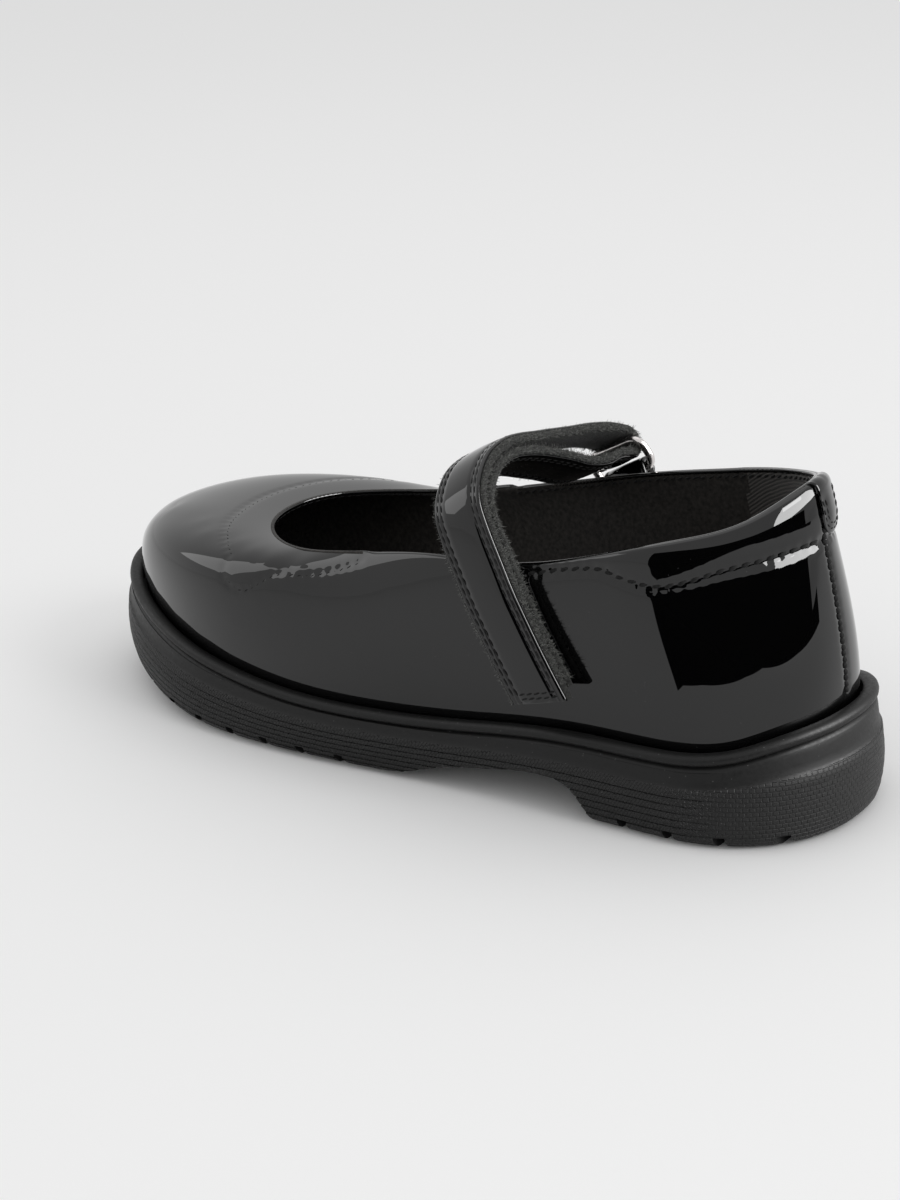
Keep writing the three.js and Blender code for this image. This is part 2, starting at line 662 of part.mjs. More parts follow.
// The patch over the rim at the back seam, cut from a skin round the upper.
function makeBackTab() {
  const { medial, lateral, bottom, round } = BACK_TAB;
  const high = 100;
  const cornerSteps = 5;
  const outline = new THREE.Shape([
    new THREE.Vector2(medial, high),
    ...arcPoints({ x: medial + round, y: bottom + round }, round, Math.PI, 1.5 * Math.PI,
      cornerSteps),
    ...arcPoints({ x: lateral - round, y: bottom + round }, round, 1.5 * Math.PI,
      2 * Math.PI, cornerSteps),
    new THREE.Vector2(lateral, high),
  ]);
  const reach = 30;
  const prism = new THREE.ExtrudeGeometry(outline, { depth: reach, bevelEnabled: false });
  prism.applyMatrix4(new THREE.Matrix4().makeBasis(new THREE.Vector3(0, 1, 0),
    new THREE.Vector3(0, 0, 1), new THREE.Vector3(1, 0, 0)));
  const skin = grownUpper(GAP + BACK_TAB_THICK).subtract(grownUpper(GAP));
  return fromManifold(skin.intersect(toManifold(prism)));
}

// ---------------------------------------------------------------- the shoe

const patent = new THREE.MeshStandardMaterial({ color: 0x0b0b0c, roughness: 0.06 });
const rubber = new THREE.MeshStandardMaterial({ color: 0x1b1b1c, roughness: 0.75 });
const lining = new THREE.MeshStandardMaterial({ color: 0x191716, roughness: 0.9 });
const nickel = new THREE.MeshStandardMaterial({ color: 0x8d8583, roughness: 0.2, metalness: 1 });

const shoe = new THREE.Group();

function add(name, geometry, material) {
  const mesh = new THREE.Mesh(geometry, material);
  mesh.name = name;
  shoe.add(mesh);
  return mesh;
}

add('sole', makeSole(), rubber);
const upperMesh = add('upper', makeUpper(), patent);
add('insole', makeInsole(), lining);
add('strap', makeStrap(), patent);
add('ring', makeRing(), nickel);
add('ring_tab', makeRingTab(), patent);
add('back_tab', makeBackTab(), patent);

const box = new THREE.Box3().setFromObject(shoe);
shoe.position.set(-SOLE_LENGTH / 2, -(box.min.y + box.max.y) / 2, 0);

const part = new THREE.Group();
part.add(shoe);
export default part;
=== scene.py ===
# %% [markdown]
# A child's mary jane: black patent upper, moulded rubber unit sole, one touch-close strap.
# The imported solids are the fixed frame. Each visible piece is made again around them with the
# form, seams and surface that the real one has, and rides on the one body, "root".
# Tables are in millimetres along the shoe, counted from the back of the heel; `place` turns
# them into metres in the shared frame.

# %% Load the frame
import math
import random

import bmesh
import bpy
import numpy as np
from mathutils import Matrix, Vector
from mathutils.bvhtree import BVHTree


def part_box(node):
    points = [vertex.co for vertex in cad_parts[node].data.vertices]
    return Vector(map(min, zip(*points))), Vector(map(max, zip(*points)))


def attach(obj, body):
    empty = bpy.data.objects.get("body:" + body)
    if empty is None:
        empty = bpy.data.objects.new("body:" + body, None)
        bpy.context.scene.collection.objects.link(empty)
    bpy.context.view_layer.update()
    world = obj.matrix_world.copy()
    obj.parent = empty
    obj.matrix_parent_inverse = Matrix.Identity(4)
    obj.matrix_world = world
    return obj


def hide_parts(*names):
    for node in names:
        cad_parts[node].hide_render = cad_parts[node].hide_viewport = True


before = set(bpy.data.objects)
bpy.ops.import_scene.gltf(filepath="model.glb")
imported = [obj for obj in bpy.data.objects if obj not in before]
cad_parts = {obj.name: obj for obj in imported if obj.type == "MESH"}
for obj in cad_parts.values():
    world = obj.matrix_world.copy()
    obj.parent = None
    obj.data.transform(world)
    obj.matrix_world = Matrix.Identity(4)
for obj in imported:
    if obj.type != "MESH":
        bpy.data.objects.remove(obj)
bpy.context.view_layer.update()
MM = 0.001
random.seed(7)
print("frame:", sorted(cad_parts))

# %% [markdown]
# A shoe is drawn on stations along its length, as on a last. The sole's outline and the height
# of its rim are smooth curves through a few stations, so a natural spline fits them well.

# %% Stations, splines and places
OUTLINE = {  # station: half width of the sole to the outer side, and to the inner side
    0: (35.5, 33.0), 45: (37.0, 34.0), 75: (37.6, 32.6), 100: (39.0, 32.4), 130: (42.4, 36.2),
    155: (43.6, 40.0), 175: (42.4, 41.5), 200: (38.5, 41.0), 231: (33.0, 38.5),
}
RIM = {  # station: height of the sole's rim
    0: 28.9, 8: 27.2, 18: 24.3, 32: 22.4, 45: 21.9, 58: 21.7, 75: 20.4, 97: 17.6, 120: 16.4,
    145: 17.2, 170: 20.6, 200: 26.6, 231: 32.0,
}


def spline(table, column=None):
    """A natural cubic spline through one column of a table."""
    x = np.array(sorted(table), float)
    y = np.array([table[k] if column is None else table[k][column] for k in sorted(table)], float)
    n, h = len(x), np.diff(x)
    system, right = np.eye(n), np.zeros(n)
    for i in range(1, n - 1):
        system[i, i - 1:i + 2] = h[i - 1], 2 * (h[i - 1] + h[i]), h[i]
        right[i] = 6 * ((y[i + 1] - y[i]) / h[i] - (y[i] - y[i - 1]) / h[i - 1])
    bend = np.linalg.solve(system, right)

    def value(at):
        at = min(max(at, x[0]), x[-1])
        k = int(min(np.searchsorted(x, at, side="right") - 1, n - 2))
        a, b = (x[k + 1] - at) / h[k], (at - x[k]) / h[k]
        curve = ((a ** 3 - a) * bend[k] + (b ** 3 - b) * bend[k + 1]) * h[k] ** 2 / 6
        return a * y[k] + b * y[k + 1] + curve

    return value


outer_half, inner_half, rim_height = spline(OUTLINE, 0), spline(OUTLINE, 1), spline(RIM)
SOLE_LENGTH = max(OUTLINE)
sole_low, sole_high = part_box("sole")
widest = max(outer_half(x) for x in range(SOLE_LENGTH))
SHIFT = Vector((sole_low.x, sole_high.y - widest * MM, 0))


def place(x, y, z):
    """A point given in millimetres, in the shared frame."""
    return Vector((x, y, z)) * MM + SHIFT


print("heel's back at", tuple(round(v, 4) for v in place(0, 0, 0)))

# %% Helpers for meshes
COLLECTION = bpy.context.scene.collection


def new_object(name, bm, material=None):
    """A finished, smooth-shaded object at the origin."""
    mesh = bpy.data.meshes.new(name)
    bm.to_mesh(mesh)
    bm.free()
    mesh.shade_smooth()
    obj = bpy.data.objects.new(name, mesh)
    COLLECTION.objects.link(obj)
    if material is not None:
        mesh.materials.append(material)
    return obj


def apply_modifiers(obj):
    """Replaces the object's mesh by what its modifiers make."""
    bpy.context.view_layer.update()
    evaluated = obj.evaluated_get(bpy.context.evaluated_depsgraph_get())
    mesh = bpy.data.meshes.new_from_object(evaluated)
    obj.modifiers.clear()
    old = obj.data
    obj.data = mesh
    bpy.data.meshes.remove(old)
    obj.data.name = obj.name
    return obj


def subdivide(obj, levels):
    modifier = obj.modifiers.new("smooth form", "SUBSURF")
    modifier.levels = modifier.render_levels = levels
    return apply_modifiers(obj)


def solidify(obj, thickness, offset):
    modifier = obj.modifiers.new("thickness", "SOLIDIFY")
    modifier.thickness = thickness * MM
    modifier.offset = offset
    return apply_modifiers(obj)


def finish_piece(obj, *nodes, slot=None):
    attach(obj, "root")
    if nodes:
        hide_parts(*nodes)
    triangles = sum(len(p.vertices) - 2 for p in obj.data.polygons)
    print(f"{obj.name}: {triangles} triangles")
    return obj


def surface_of(obj):
    bm = bmesh.new()
    bm.from_mesh(obj.data)
    tree = BVHTree.FromBMesh(bm)
    bm.free()
    return tree


def cad_copy(node):
    """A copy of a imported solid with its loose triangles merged."""
    bm = bmesh.new()
    bm.from_mesh(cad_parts[node].data)
    bmesh.ops.remove_doubles(bm, verts=bm.verts, dist=0.005 * MM)
    return bm


# %% [markdown]
# Shared surface effects are node groups: a fine noise that breaks up the roughness, and dust
# that lies in small specks. Every material places them with its own values.

# %% Shared shader groups
def new_group(name, inputs, outputs):
    group = bpy.data.node_groups.new(name, "ShaderNodeTree")
    for label, kind, value in inputs:
        socket = group.interface.new_socket(label, in_out="INPUT", socket_type=kind)
        if value is not None:
            socket.default_value = value
    for label, kind in outputs:
        group.interface.new_socket(label, in_out="OUTPUT", socket_type=kind)
    ends = group.nodes.new("NodeGroupInput"), group.nodes.new("NodeGroupOutput")
    return group, *ends


def math_node(tree, operation, a, b=None):
    node = tree.nodes.new("ShaderNodeMath")
    node.operation = operation
    for socket, value in zip(node.inputs, (a, b)):
        if isinstance(value, (int, float)):
            socket.default_value = value
        elif value is not None:
            tree.links.new(value, socket)
    return node.outputs[0]


def build_grain():
    """Noise between Low and High at a given scale, with its height for a bump."""
    group, start, end = new_group(
        "grain",
        [("Scale", "NodeSocketFloat", 500.0), ("Detail", "NodeSocketFloat", 4.0),
         ("Low", "NodeSocketFloat", 0.3), ("High", "NodeSocketFloat", 0.5)],
        [("Value", "NodeSocketFloat"), ("Height", "NodeSocketFloat")])
    where = group.nodes.new("ShaderNodeTexCoord")
    noise = group.nodes.new("ShaderNodeTexNoise")
    spread = group.nodes.new("ShaderNodeMapRange")
    group.links.new(where.outputs["Object"], noise.inputs["Vector"])
    group.links.new(start.outputs["Scale"], noise.inputs["Scale"])
    group.links.new(start.outputs["Detail"], noise.inputs["Detail"])
    group.links.new(noise.outputs["Fac"], spread.inputs["Value"])
    spread.inputs["From Min"].default_value = 0.3
    spread.inputs["From Max"].default_value = 0.7
    group.links.new(start.outputs["Low"], spread.inputs["To Min"])
    group.links.new(start.outputs["High"], spread.inputs["To Max"])
    group.links.new(spread.outputs["Result"], end.inputs["Value"])
    group.links.new(noise.outputs["Fac"], end.inputs["Height"])
    return group


def build_specks():
    """A mask of small separate specks, such as dust or lint."""
    group, start, end = new_group(
        "specks",
        [("Scale", "NodeSocketFloat", 300.0), ("Size", "NodeSocketFloat", 0.06)],
        [("Mask", "NodeSocketFloat")])
    where = group.nodes.new("ShaderNodeTexCoord")
    cells = group.nodes.new("ShaderNodeTexVoronoi")
    group.links.new(where.outputs["Object"], cells.inputs["Vector"])
    group.links.new(start.outputs["Scale"], cells.inputs["Scale"])
    near = math_node(group, "LESS_THAN", cells.outputs["Distance"], start.outputs["Size"])
    split = group.nodes.new("ShaderNodeSeparateColor")
    group.links.new(cells.outputs["Color"], split.inputs["Color"])
    few = math_node(group, "GREATER_THAN", split.outputs["Red"], 0.6)
    group.links.new(math_node(group, "MULTIPLY", near, few), end.inputs["Mask"])
    return group


GRAIN, SPECKS = build_grain(), build_specks()


def new_material(name, **values):
    """A material whose Principled shader has these constants on its own sockets."""
    material = bpy.data.materials.new(name)
    material.use_nodes = True
    shader = material.node_tree.nodes["Principled BSDF"]
    for key, value in values.items():
        shader.inputs[key.replace("_", " ")].default_value = value
    return material, material.node_tree, shader


def use_group(tree, group, **values):
    node = tree.nodes.new("ShaderNodeGroup")
    node.node_tree = group
    for key, value in values.items():
        node.inputs[key].default_value = value
    return node


def mix_colours(tree, mask, first, second):
    node = tree.nodes.new("ShaderNodeMix")
    node.data_type = "RGBA"
    tree.links.new(mask, node.inputs["Factor"])
    node.inputs["A"].default_value = (*first, 1)
    node.inputs["B"].default_value = (*second, 1)
    return node.outputs["Result"]


def bump(tree, shader, height, distance, strength=1.0, normal=None):
    node = tree.nodes.new("ShaderNodeBump")
    node.inputs["Distance"].default_value = distance * MM
    node.inputs["Strength"].default_value = strength
    tree.links.new(height, node.inputs["Height"])
    if normal is not None:
        tree.links.new(normal, node.inputs["Normal"])
    tree.links.new(node.outputs["Normal"], shader.inputs["Normal"])
    return node.outputs["Normal"]


# %% [markdown]
# Patent leather is split leather under a thick clear film. The film makes the mirror, so it is
# a coat with almost no roughness over a black base; the leather under it shows only as a slow
# waviness of the film and a faint pebble.

# %% Patent leather
def make_patent():
    material, tree, shader = new_material(
        "patent leather", Specular_IOR_Level=0.0, Coat_Weight=1.0, Coat_Roughness=0.012,
        Coat_IOR=1.52)
    fine = use_group(tree, GRAIN, Scale=900.0, Detail=3.0, Low=0.3, High=0.5)
    slow = use_group(tree, GRAIN, Scale=110.0, Detail=2.0, Low=0.0, High=1.0)
    dust = use_group(tree, SPECKS, Scale=420.0, Size=0.05)
    tree.links.new(
        mix_colours(tree, dust.outputs["Mask"], (0.0012, 0.0012, 0.0013), (0.03, 0.03, 0.03)),
        shader.inputs["Base Color"])
    tree.links.new(fine.outputs["Value"], shader.inputs["Roughness"])
    first = bump(tree, shader, slow.outputs["Height"], 0.07, 0.5)
    bump(tree, shader, fine.outputs["Height"], 0.004, 0.25, first)
    return material


PATENT = make_patent()

# %% [markdown]
# The linings are brushed textile: they scatter light, are lighter at grazing angles, and show
# a nap. The strap's loop side has the same yarn, only greyer.

# %% Textiles and thread
def make_textile(name, dark, light, scale, height, sheen):
    material, tree, shader = new_material(name, Roughness=0.92, Sheen_Weight=sheen,
                                          Sheen_Roughness=0.5, Specular_IOR_Level=0.2)
    nap = use_group(tree, GRAIN, Scale=scale, Detail=6.0, Low=0.0, High=1.0)
    tree.links.new(mix_colours(tree, nap.outputs["Value"], dark, light),
                   shader.inputs["Base Color"])
    bump(tree, shader, nap.outputs["Height"], height, 0.9)
    return material


LINING = make_textile("brushed lining", (0.008, 0.007, 0.006), (0.03, 0.027, 0.024),
                      900, 0.15, 0.1)
LOOPS = make_textile("loop pile", (0.005, 0.005, 0.005), (0.035, 0.036, 0.033), 1600, 0.35, 0.1)
FUZZ = make_textile("loose fibre", (0.008, 0.008, 0.007), (0.2, 0.205, 0.19), 1100, 0.02, 0.2)
THREAD = make_textile("black thread", (0.003, 0.003, 0.003), (0.012, 0.012, 0.012),
                      2500, 0.08, 0.05)


def make_heel_grip():
    """Ribbed suede-like fabric that keeps the heel from slipping."""
    material, tree, shader = new_material("heel grip", Roughness=0.95, Sheen_Weight=0.3,
                                          Sheen_Roughness=0.5, Specular_IOR_Level=0.2)
    where = tree.nodes.new("ShaderNodeTexCoord")
    ribs = tree.nodes.new("ShaderNodeTexWave")
    ribs.bands_direction = "DIAGONAL"
    ribs.inputs["Scale"].default_value = 520
    ribs.inputs["Distortion"].default_value = 2.5
    ribs.inputs["Detail"].default_value = 2
    ribs.inputs["Detail Scale"].default_value = 0.3
    tree.links.new(where.outputs["Object"], ribs.inputs["Vector"])
    tree.links.new(mix_colours(tree, ribs.outputs["Fac"], (0.012, 0.011, 0.01),
                               (0.06, 0.055, 0.05)), shader.inputs["Base Color"])
    bump(tree, shader, ribs.outputs["Fac"], 0.2, 0.8)
    return material


HEEL_GRIP = make_heel_grip()


def make_wire():
    material, tree, shader = new_material("nickel wire", Metallic=1.0)
    marks = use_group(tree, GRAIN, Scale=1500.0, Detail=3.0, Low=0.12, High=0.28)
    tree.links.new(mix_colours(tree, marks.outputs["Value"], (0.72, 0.69, 0.68), (0.5, 0.47, 0.46)),
                   shader.inputs["Base Color"])
    tree.links.new(marks.outputs["Value"], shader.inputs["Roughness"])
    return material


WIRE = make_wire()

# %% [markdown]
# The sole is one rubber moulding. Its wall is knurled: staggered bricks round the heel and toe,
# long fine grooves along the sides. The wall's own UV map gives the distance round the sole and
# the height, in units of one millimetre, so the pattern follows the wall.

# %% Rubber
def make_rubber():
    material, tree, shader = new_material("moulded rubber", Specular_IOR_Level=0.25)
    rough = use_group(tree, GRAIN, Scale=1200.0, Detail=4.0, Low=0.4, High=0.55)
    dust = use_group(tree, SPECKS, Scale=700.0, Size=0.09)
    tree.links.new(
        mix_colours(tree, dust.outputs["Mask"], (0.008, 0.008, 0.008), (0.07, 0.07, 0.07)),
        shader.inputs["Base Color"])
    tree.links.new(rough.outputs["Value"], shader.inputs["Roughness"])
    bump(tree, shader, rough.outputs["Height"], 0.06, 0.5)
    return material


RUBBER = make_rubber()


def make_knurled_rubber():
    material, tree, shader = new_material("knurled rubber", Specular_IOR_Level=0.3)
    where = tree.nodes.new("ShaderNodeUVMap")
    where.uv_map = "wall"
    knurl = tree.nodes.new("ShaderNodeVertexColor")
    knurl.layer_name = "knurl"
    bricks = tree.nodes.new("ShaderNodeTexBrick")
    bricks.inputs["Scale"].default_value = 1.0
    bricks.inputs["Brick Width"].default_value = 1.55
    bricks.inputs["Row Height"].default_value = 1.15
    bricks.inputs["Mortar Size"].default_value = 0.2
    bricks.inputs["Mortar Smooth"].default_value = 0.7
    bricks.inputs["Color1"].default_value = (1, 1, 1, 1)
    bricks.inputs["Color2"].default_value = (0.55, 0.55, 0.55, 1)
    bricks.inputs["Mortar"].default_value = (0, 0, 0, 1)
    tree.links.new(where.outputs["UV"], bricks.inputs["Vector"])
    lean = tree.nodes.new("ShaderNodeMapping")
    lean.inputs["Rotation"].default_value = (0, 0, math.radians(58))
    dashes = tree.nodes.new("ShaderNodeTexBrick")
    dashes.inputs["Scale"].default_value = 1.0
    dashes.inputs["Brick Width"].default_value = 1.5
    dashes.inputs["Row Height"].default_value = 0.75
    dashes.inputs["Mortar Size"].default_value = 0.16
    dashes.inputs["Mortar Smooth"].default_value = 1.0
    dashes.inputs["Color1"].default_value = (1, 1, 1, 1)
    dashes.inputs["Color2"].default_value = (0.6, 0.6, 0.6, 1)
    dashes.inputs["Mortar"].default_value = (0, 0, 0, 1)
    tree.links.new(where.outputs["UV"], lean.inputs["Vector"])
    tree.links.new(lean.outputs["Vector"], dashes.inputs["Vector"])
    soft = math_node(tree, "MULTIPLY", dashes.outputs["Color"], 0.5)
    mix = tree.nodes.new("ShaderNodeMix")
    mix.data_type = "FLOAT"
    tree.links.new(knurl.outputs["Color"], mix.inputs["Factor"])
    tree.links.new(soft, mix.inputs["A"])
    tree.links.new(bricks.outputs["Color"], mix.inputs["B"])
    relief = mix.outputs["Result"]
    dust = use_group(tree, SPECKS, Scale=700.0, Size=0.09)
    tree.links.new(
        mix_colours(tree, dust.outputs["Mask"], (0.01, 0.01, 0.01), (0.07, 0.07, 0.07)),
        shader.inputs["Base Color"])
    rough = use_group(tree, GRAIN, Scale=1500.0, Detail=4.0, Low=0.42, High=0.6)
    tree.links.new(rough.outputs["Value"], shader.inputs["Roughness"])
    first = bump(tree, shader, relief, 0.8, 1.0)
    bump(tree, shader, rough.outputs["Height"], 0.04, 0.4, first)
    return material


KNURLED = make_knurled_rubber()
print("materials:", [m.name for m in bpy.data.materials])

# %% [markdown]
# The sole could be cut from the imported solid, but that one has facets a thumb can feel. Here a
# ring of edges is drawn once on the outline and extruded up the wall, row by row: rounded foot,
# knurled wall with its fine grooves, smooth band, groove, bead, and the seat inside the rim.

# %% The sole's outline
HEEL_ROUND, TOE_ROUND, TOE_CENTRE, ROUND_POWER = 37, 60, -5, 2.15
TOE_SPRING, SPRING_START = 11, 160
ARC, SIDE = 36, 84


def outline_side(half, side):
    """Points of one side of the sole, from the heel to the toe."""
    points = []
    stations = [HEEL_ROUND * (1 - math.cos(math.pi / 2 * i / ARC)) for i in range(ARC)]
    stations += list(np.linspace(HEEL_ROUND, SOLE_LENGTH - TOE_ROUND, SIDE, endpoint=False))
    toe = [math.pi / 2 * (1 - i / ARC) for i in range(ARC + 1)]
    stations += [SOLE_LENGTH - TOE_ROUND * (1 - math.cos(angle)) for angle in toe]
    for x in stations:
        open_, middle = 1.0, 0.0
        if x < HEEL_ROUND:
            open_ = (1 - (1 - x / HEEL_ROUND) ** ROUND_POWER) ** (1 / ROUND_POWER)
        elif x > SOLE_LENGTH - TOE_ROUND:
            near = max(0.0, 1 - (SOLE_LENGTH - x) / TOE_ROUND)
            open_, middle = (1 - near ** ROUND_POWER) ** (1 / ROUND_POWER), TOE_CENTRE
        points.append((x, side * half(x) * open_ + middle * (1 - open_)))
    return points


def make_outline():
    """Ring of (x, y, outward x, outward y, distance round the sole)."""
    ring = outline_side(outer_half, 1) + outline_side(inner_half, -1)[1:-1][::-1]
    flat = np.array(ring)
    along = np.roll(flat, -1, 0) - np.roll(flat, 1, 0)
    along /= np.linalg.norm(along, axis=1)[:, None]
    normal = np.stack([-along[:, 1], along[:, 0]], 1)
    steps = np.linalg.norm(flat - np.roll(flat, 1, 0), axis=1)
    steps[0] = 0
    return np.column_stack([flat, normal, np.cumsum(steps)])


outline = make_outline()
print("outline:", len(outline), "points,", round(outline[-1, 4]), "mm round")


def ground(x):
    return TOE_SPRING * (max(0, x - SPRING_START) / (SOLE_LENGTH - SPRING_START)) ** 2


# %% Extrude the wall
def wall_rows():
    """Rows from the ground up: share of the height, millimetres up, millimetres out from the
    edge, and the depth there of a fine groove that dies out round the heel and toe."""
    rows = [(0, 0.0, -4.4, 0), (0, 0.25, -3.2, 0), (0, 0.9, -2.2, 0), (0, 1.8, -1.35, 0)]
    for share, out in WALL_GROOVES:
        rows += [(share, up, out, depth) for up, depth in GROOVE_FORM]
    rows += [(0.635, 0, -0.75, 0), (0.64, 0.35, -1.15, 0), (0.65, 0.6, -1.45, 0),
             (0.74, 0, -1.7, 0), (0.82, 0, -1.95, 0), (1, -4.1, -2.15, 0), (1, -3.6, -2.35, 0),
             (1, -3.3, -2.85, 0), (1, -3.05, -3.2, 0), (1, -2.8, -2.9, 0), (1, -2.5, -2.3, 0),
             (1, -1.9, -1.85, 0), (1, -1.3, -1.8, 0), (1, -0.7, -2.0, 0), (1, -0.25, -2.45, 0),
             (1, 0, -3.15, 0), (1, -0.05, -4.1, 0), (1, -0.3, -5.0, 0), (1, -0.9, -5.5, 0),
             (1, -4.0, -5.6, 0)]
    return rows


WALL_GROOVES = [(0.14, -0.75), (0.225, -0.35), (0.31, -0.15), (0.39, -0.12), (0.47, -0.25),
                (0.55, -0.5)]  # share of the height, and how far out the wall stands there
GROOVE_FORM = [(-0.26, 0), (-0.13, 0.08), (0, 0.42), (0.13, 0.08), (0.26, 0)]
PLAIN_ROWS_BELOW = 2
TEXTURED_ROWS = PLAIN_ROWS_BELOW + 3 + len(WALL_GROOVES) * len(GROOVE_FORM)


def along_sides(x):
    """1 along the sides of the sole, falling to 0 round its heel and toe."""
    return min(1, max(0, (x - 20) / 16)) * min(1, max(0, (216 - x) / 14))


def row_points(share, up, out, groove):
    for x, y, nx, ny, _ in outline:
        low = ground(x)
        height = low + share * (rim_height(x) - low) + up
        reach = out - groove * along_sides(x)
        yield place(x + nx * reach, y + ny * reach, height)


def make_sole_body():
    rows = wall_rows()
    bm = bmesh.new()
    uv = bm.loops.layers.uv.new("wall")
    knurl = bm.verts.layers.float_color.new("knurl")
    verts = [bm.verts.new(p) for p in row_points(*rows[0])]
    edges = [bm.edges.new((a, b)) for a, b in zip(verts, verts[1:] + verts[:1])]
    distance = {v: outline[i, 4] for i, v in enumerate(verts)}
    first_edges, foot_verts = list(edges), list(verts)
    for row in rows[1:]:
        made = bmesh.ops.extrude_edge_only(bm, edges=edges)["geom"]
        edges = [g for g in made if isinstance(g, bmesh.types.BMEdge)]
        faces = [g for g in made if isinstance(g, bmesh.types.BMFace)]
        above = {}
        for face in faces:
            for edge in face.edges:
                ends = [v in distance for v in edge.verts]
                if ends == [True, False]:
                    above[edge.verts[0]] = edge.verts[1]
                elif ends == [False, True]:
                    above[edge.verts[1]] = edge.verts[0]
        verts = [above[v] for v in verts]
        for i, (vert, point) in enumerate(zip(verts, row_points(*row))):
            vert.co = point
            distance[vert] = outline[i, 4]
    bm.verts.index_update()
    total = outline[-1, 4]
    for face in bm.faces:
        around = [distance[loop.vert] for loop in face.loops]
        wraps = max(around) - min(around) > total / 2
        for loop, s in zip(face.loops, around):
            if wraps and s < total / 2:
                s += total
            loop[uv].uv = (s, loop.vert.co.z / MM)
    for vert in bm.verts:
        x = (vert.co.x - SHIFT.x) / MM
        value = 1 - along_sides(x)
        vert[knurl] = (value, value, value, 1)
    wall_faces = set(bm.faces)
    for loop_edges, loop_verts in ((edges, verts), (first_edges, foot_verts)):
        bmesh.ops.edgeloop_fill(bm, edges=loop_edges)
        for i in range(1, len(loop_verts) // 2):
            bmesh.ops.connect_verts(bm, verts=[loop_verts[i], loop_verts[-i]])
    bmesh.ops.recalc_face_normals(bm, faces=bm.faces)
    return bm, [face for face in bm.faces if face not in wall_faces]


body, caps = make_sole_body()
ring_size = len(outline)
for index, face in enumerate(body.faces):
    row = index // ring_size
    face.material_index = int(PLAIN_ROWS_BELOW <= row < TEXTURED_ROWS and face not in caps)
sole = new_object("rubber_sole", body, RUBBER)
sole.data.materials.append(KNURLED)
print("sole wall:", len(sole.data.polygons), "faces")

# %% [markdown]
# The arch, the lugs' notches and the channel under the tread are cut out, as the mould's steel
# would leave them.

# %% Cut the tread
HEEL_BREAST, FOREFOOT_START = 54.5, 117
UNDERSIDE = [(HEEL_BREAST, 0), (56, 3.6), (58.6, 7.4), (63, 9.8), (71, 10.2), (82, 8.6), (95, 6.2),
             (108, 2.2), (FOREFOOT_START, 0)]
LUG_PITCH, LUG_GROOVE, LUG_DEPTH, CHANNEL = 12, 2.5, 3.4, 3
HEEL_GROOVES = [10 + LUG_PITCH * i for i in range(4)]
TOE_GROOVES = [127 + LUG_PITCH * i for i in range(7)]


def arch_cutter():
    bm = bmesh.new()
    curve = spline(dict(UNDERSIDE[1:-1]))
    stations = np.linspace(UNDERSIDE[1][0], UNDERSIDE[-2][0], 28)
    points = [(HEEL_BREAST - 1, -5), (HEEL_BREAST, 0)] + [(x, curve(x)) for x in stations]
    points += [(FOREFOOT_START, 0), (FOREFOOT_START + 1, -5)]
    verts = [bm.verts.new(place(x, -60, z)) for x, z in points]
    face = bm.faces.new(verts)
    made = bmesh.ops.extrude_face_region(bm, geom=[face])["geom"]
    moved = [g for g in made if isinstance(g, bmesh.types.BMVert)]
    bmesh.ops.translate(bm, verts=moved, vec=(0, 120 * MM, 0))
    bmesh.ops.recalc_face_normals(bm, faces=bm.faces)
    return new_object("arch_cutter", bm)


def box_cutter(name, boxes):
    """Boxes from a list of (x, width in x, width in y, middle height)."""
    bm = bmesh.new()
    for x, wide, across, z in boxes:
        matrix = Matrix.Translation(place(x, 0, z)) @ Matrix.Diagonal(
            (wide * MM, across * MM, 2 * LUG_DEPTH * MM, 1))
        bmesh.ops.create_cube(bm, size=1, matrix=matrix)
    return new_object(name, bm)


grooves = box_cutter("groove_cutter", [(x, LUG_GROOVE, 120, ground(x))
                                       for x in HEEL_GROOVES + TOE_GROOVES])
channel_spans = [(HEEL_GROOVES[0], HEEL_GROOVES[-1]), (TOE_GROOVES[0], TOE_GROOVES[3])]
channels = box_cutter("channel_cutter", [((a + b) / 2, b - a, CHANNEL, 0)
                                         for a, b in channel_spans])
for cutter in (arch_cutter(), grooves, channels):
    cut = sole.modifiers.new(cutter.name, "BOOLEAN")
    cut.operation = "DIFFERENCE"
    cut.solver = "EXACT"
    cut.object = cutter
    apply_modifiers(sole)
    bpy.data.objects.remove(cutter)
for polygon in sole.data.polygons:
    polygon.use_smooth = abs(polygon.normal.z) < 0.9 or polygon.center.z > 0.014
sole.data.set_sharp_from_angle(angle=math.radians(38))
finish_piece(sole, "sole", slot="rubber")

# %% [markdown]
# The upper is lasted leather: one smooth shell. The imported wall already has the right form, so
# its outer skin is copied, joined to quads and subdivided. Seams are pressed in afterwards:
# a soft trough along each line of stitches and a padded ridge above the collar seam.

# %% Skins of the upper
HIDDEN_FOOT = 1.6  # what stands deeper inside the rim of the sole is never seen


def below_rim(point):
    """How far a point lies below the rim of the sole at its station, in millimetres."""
    return rim_height((point.x - SHIFT.x) / MM) - point.z / MM


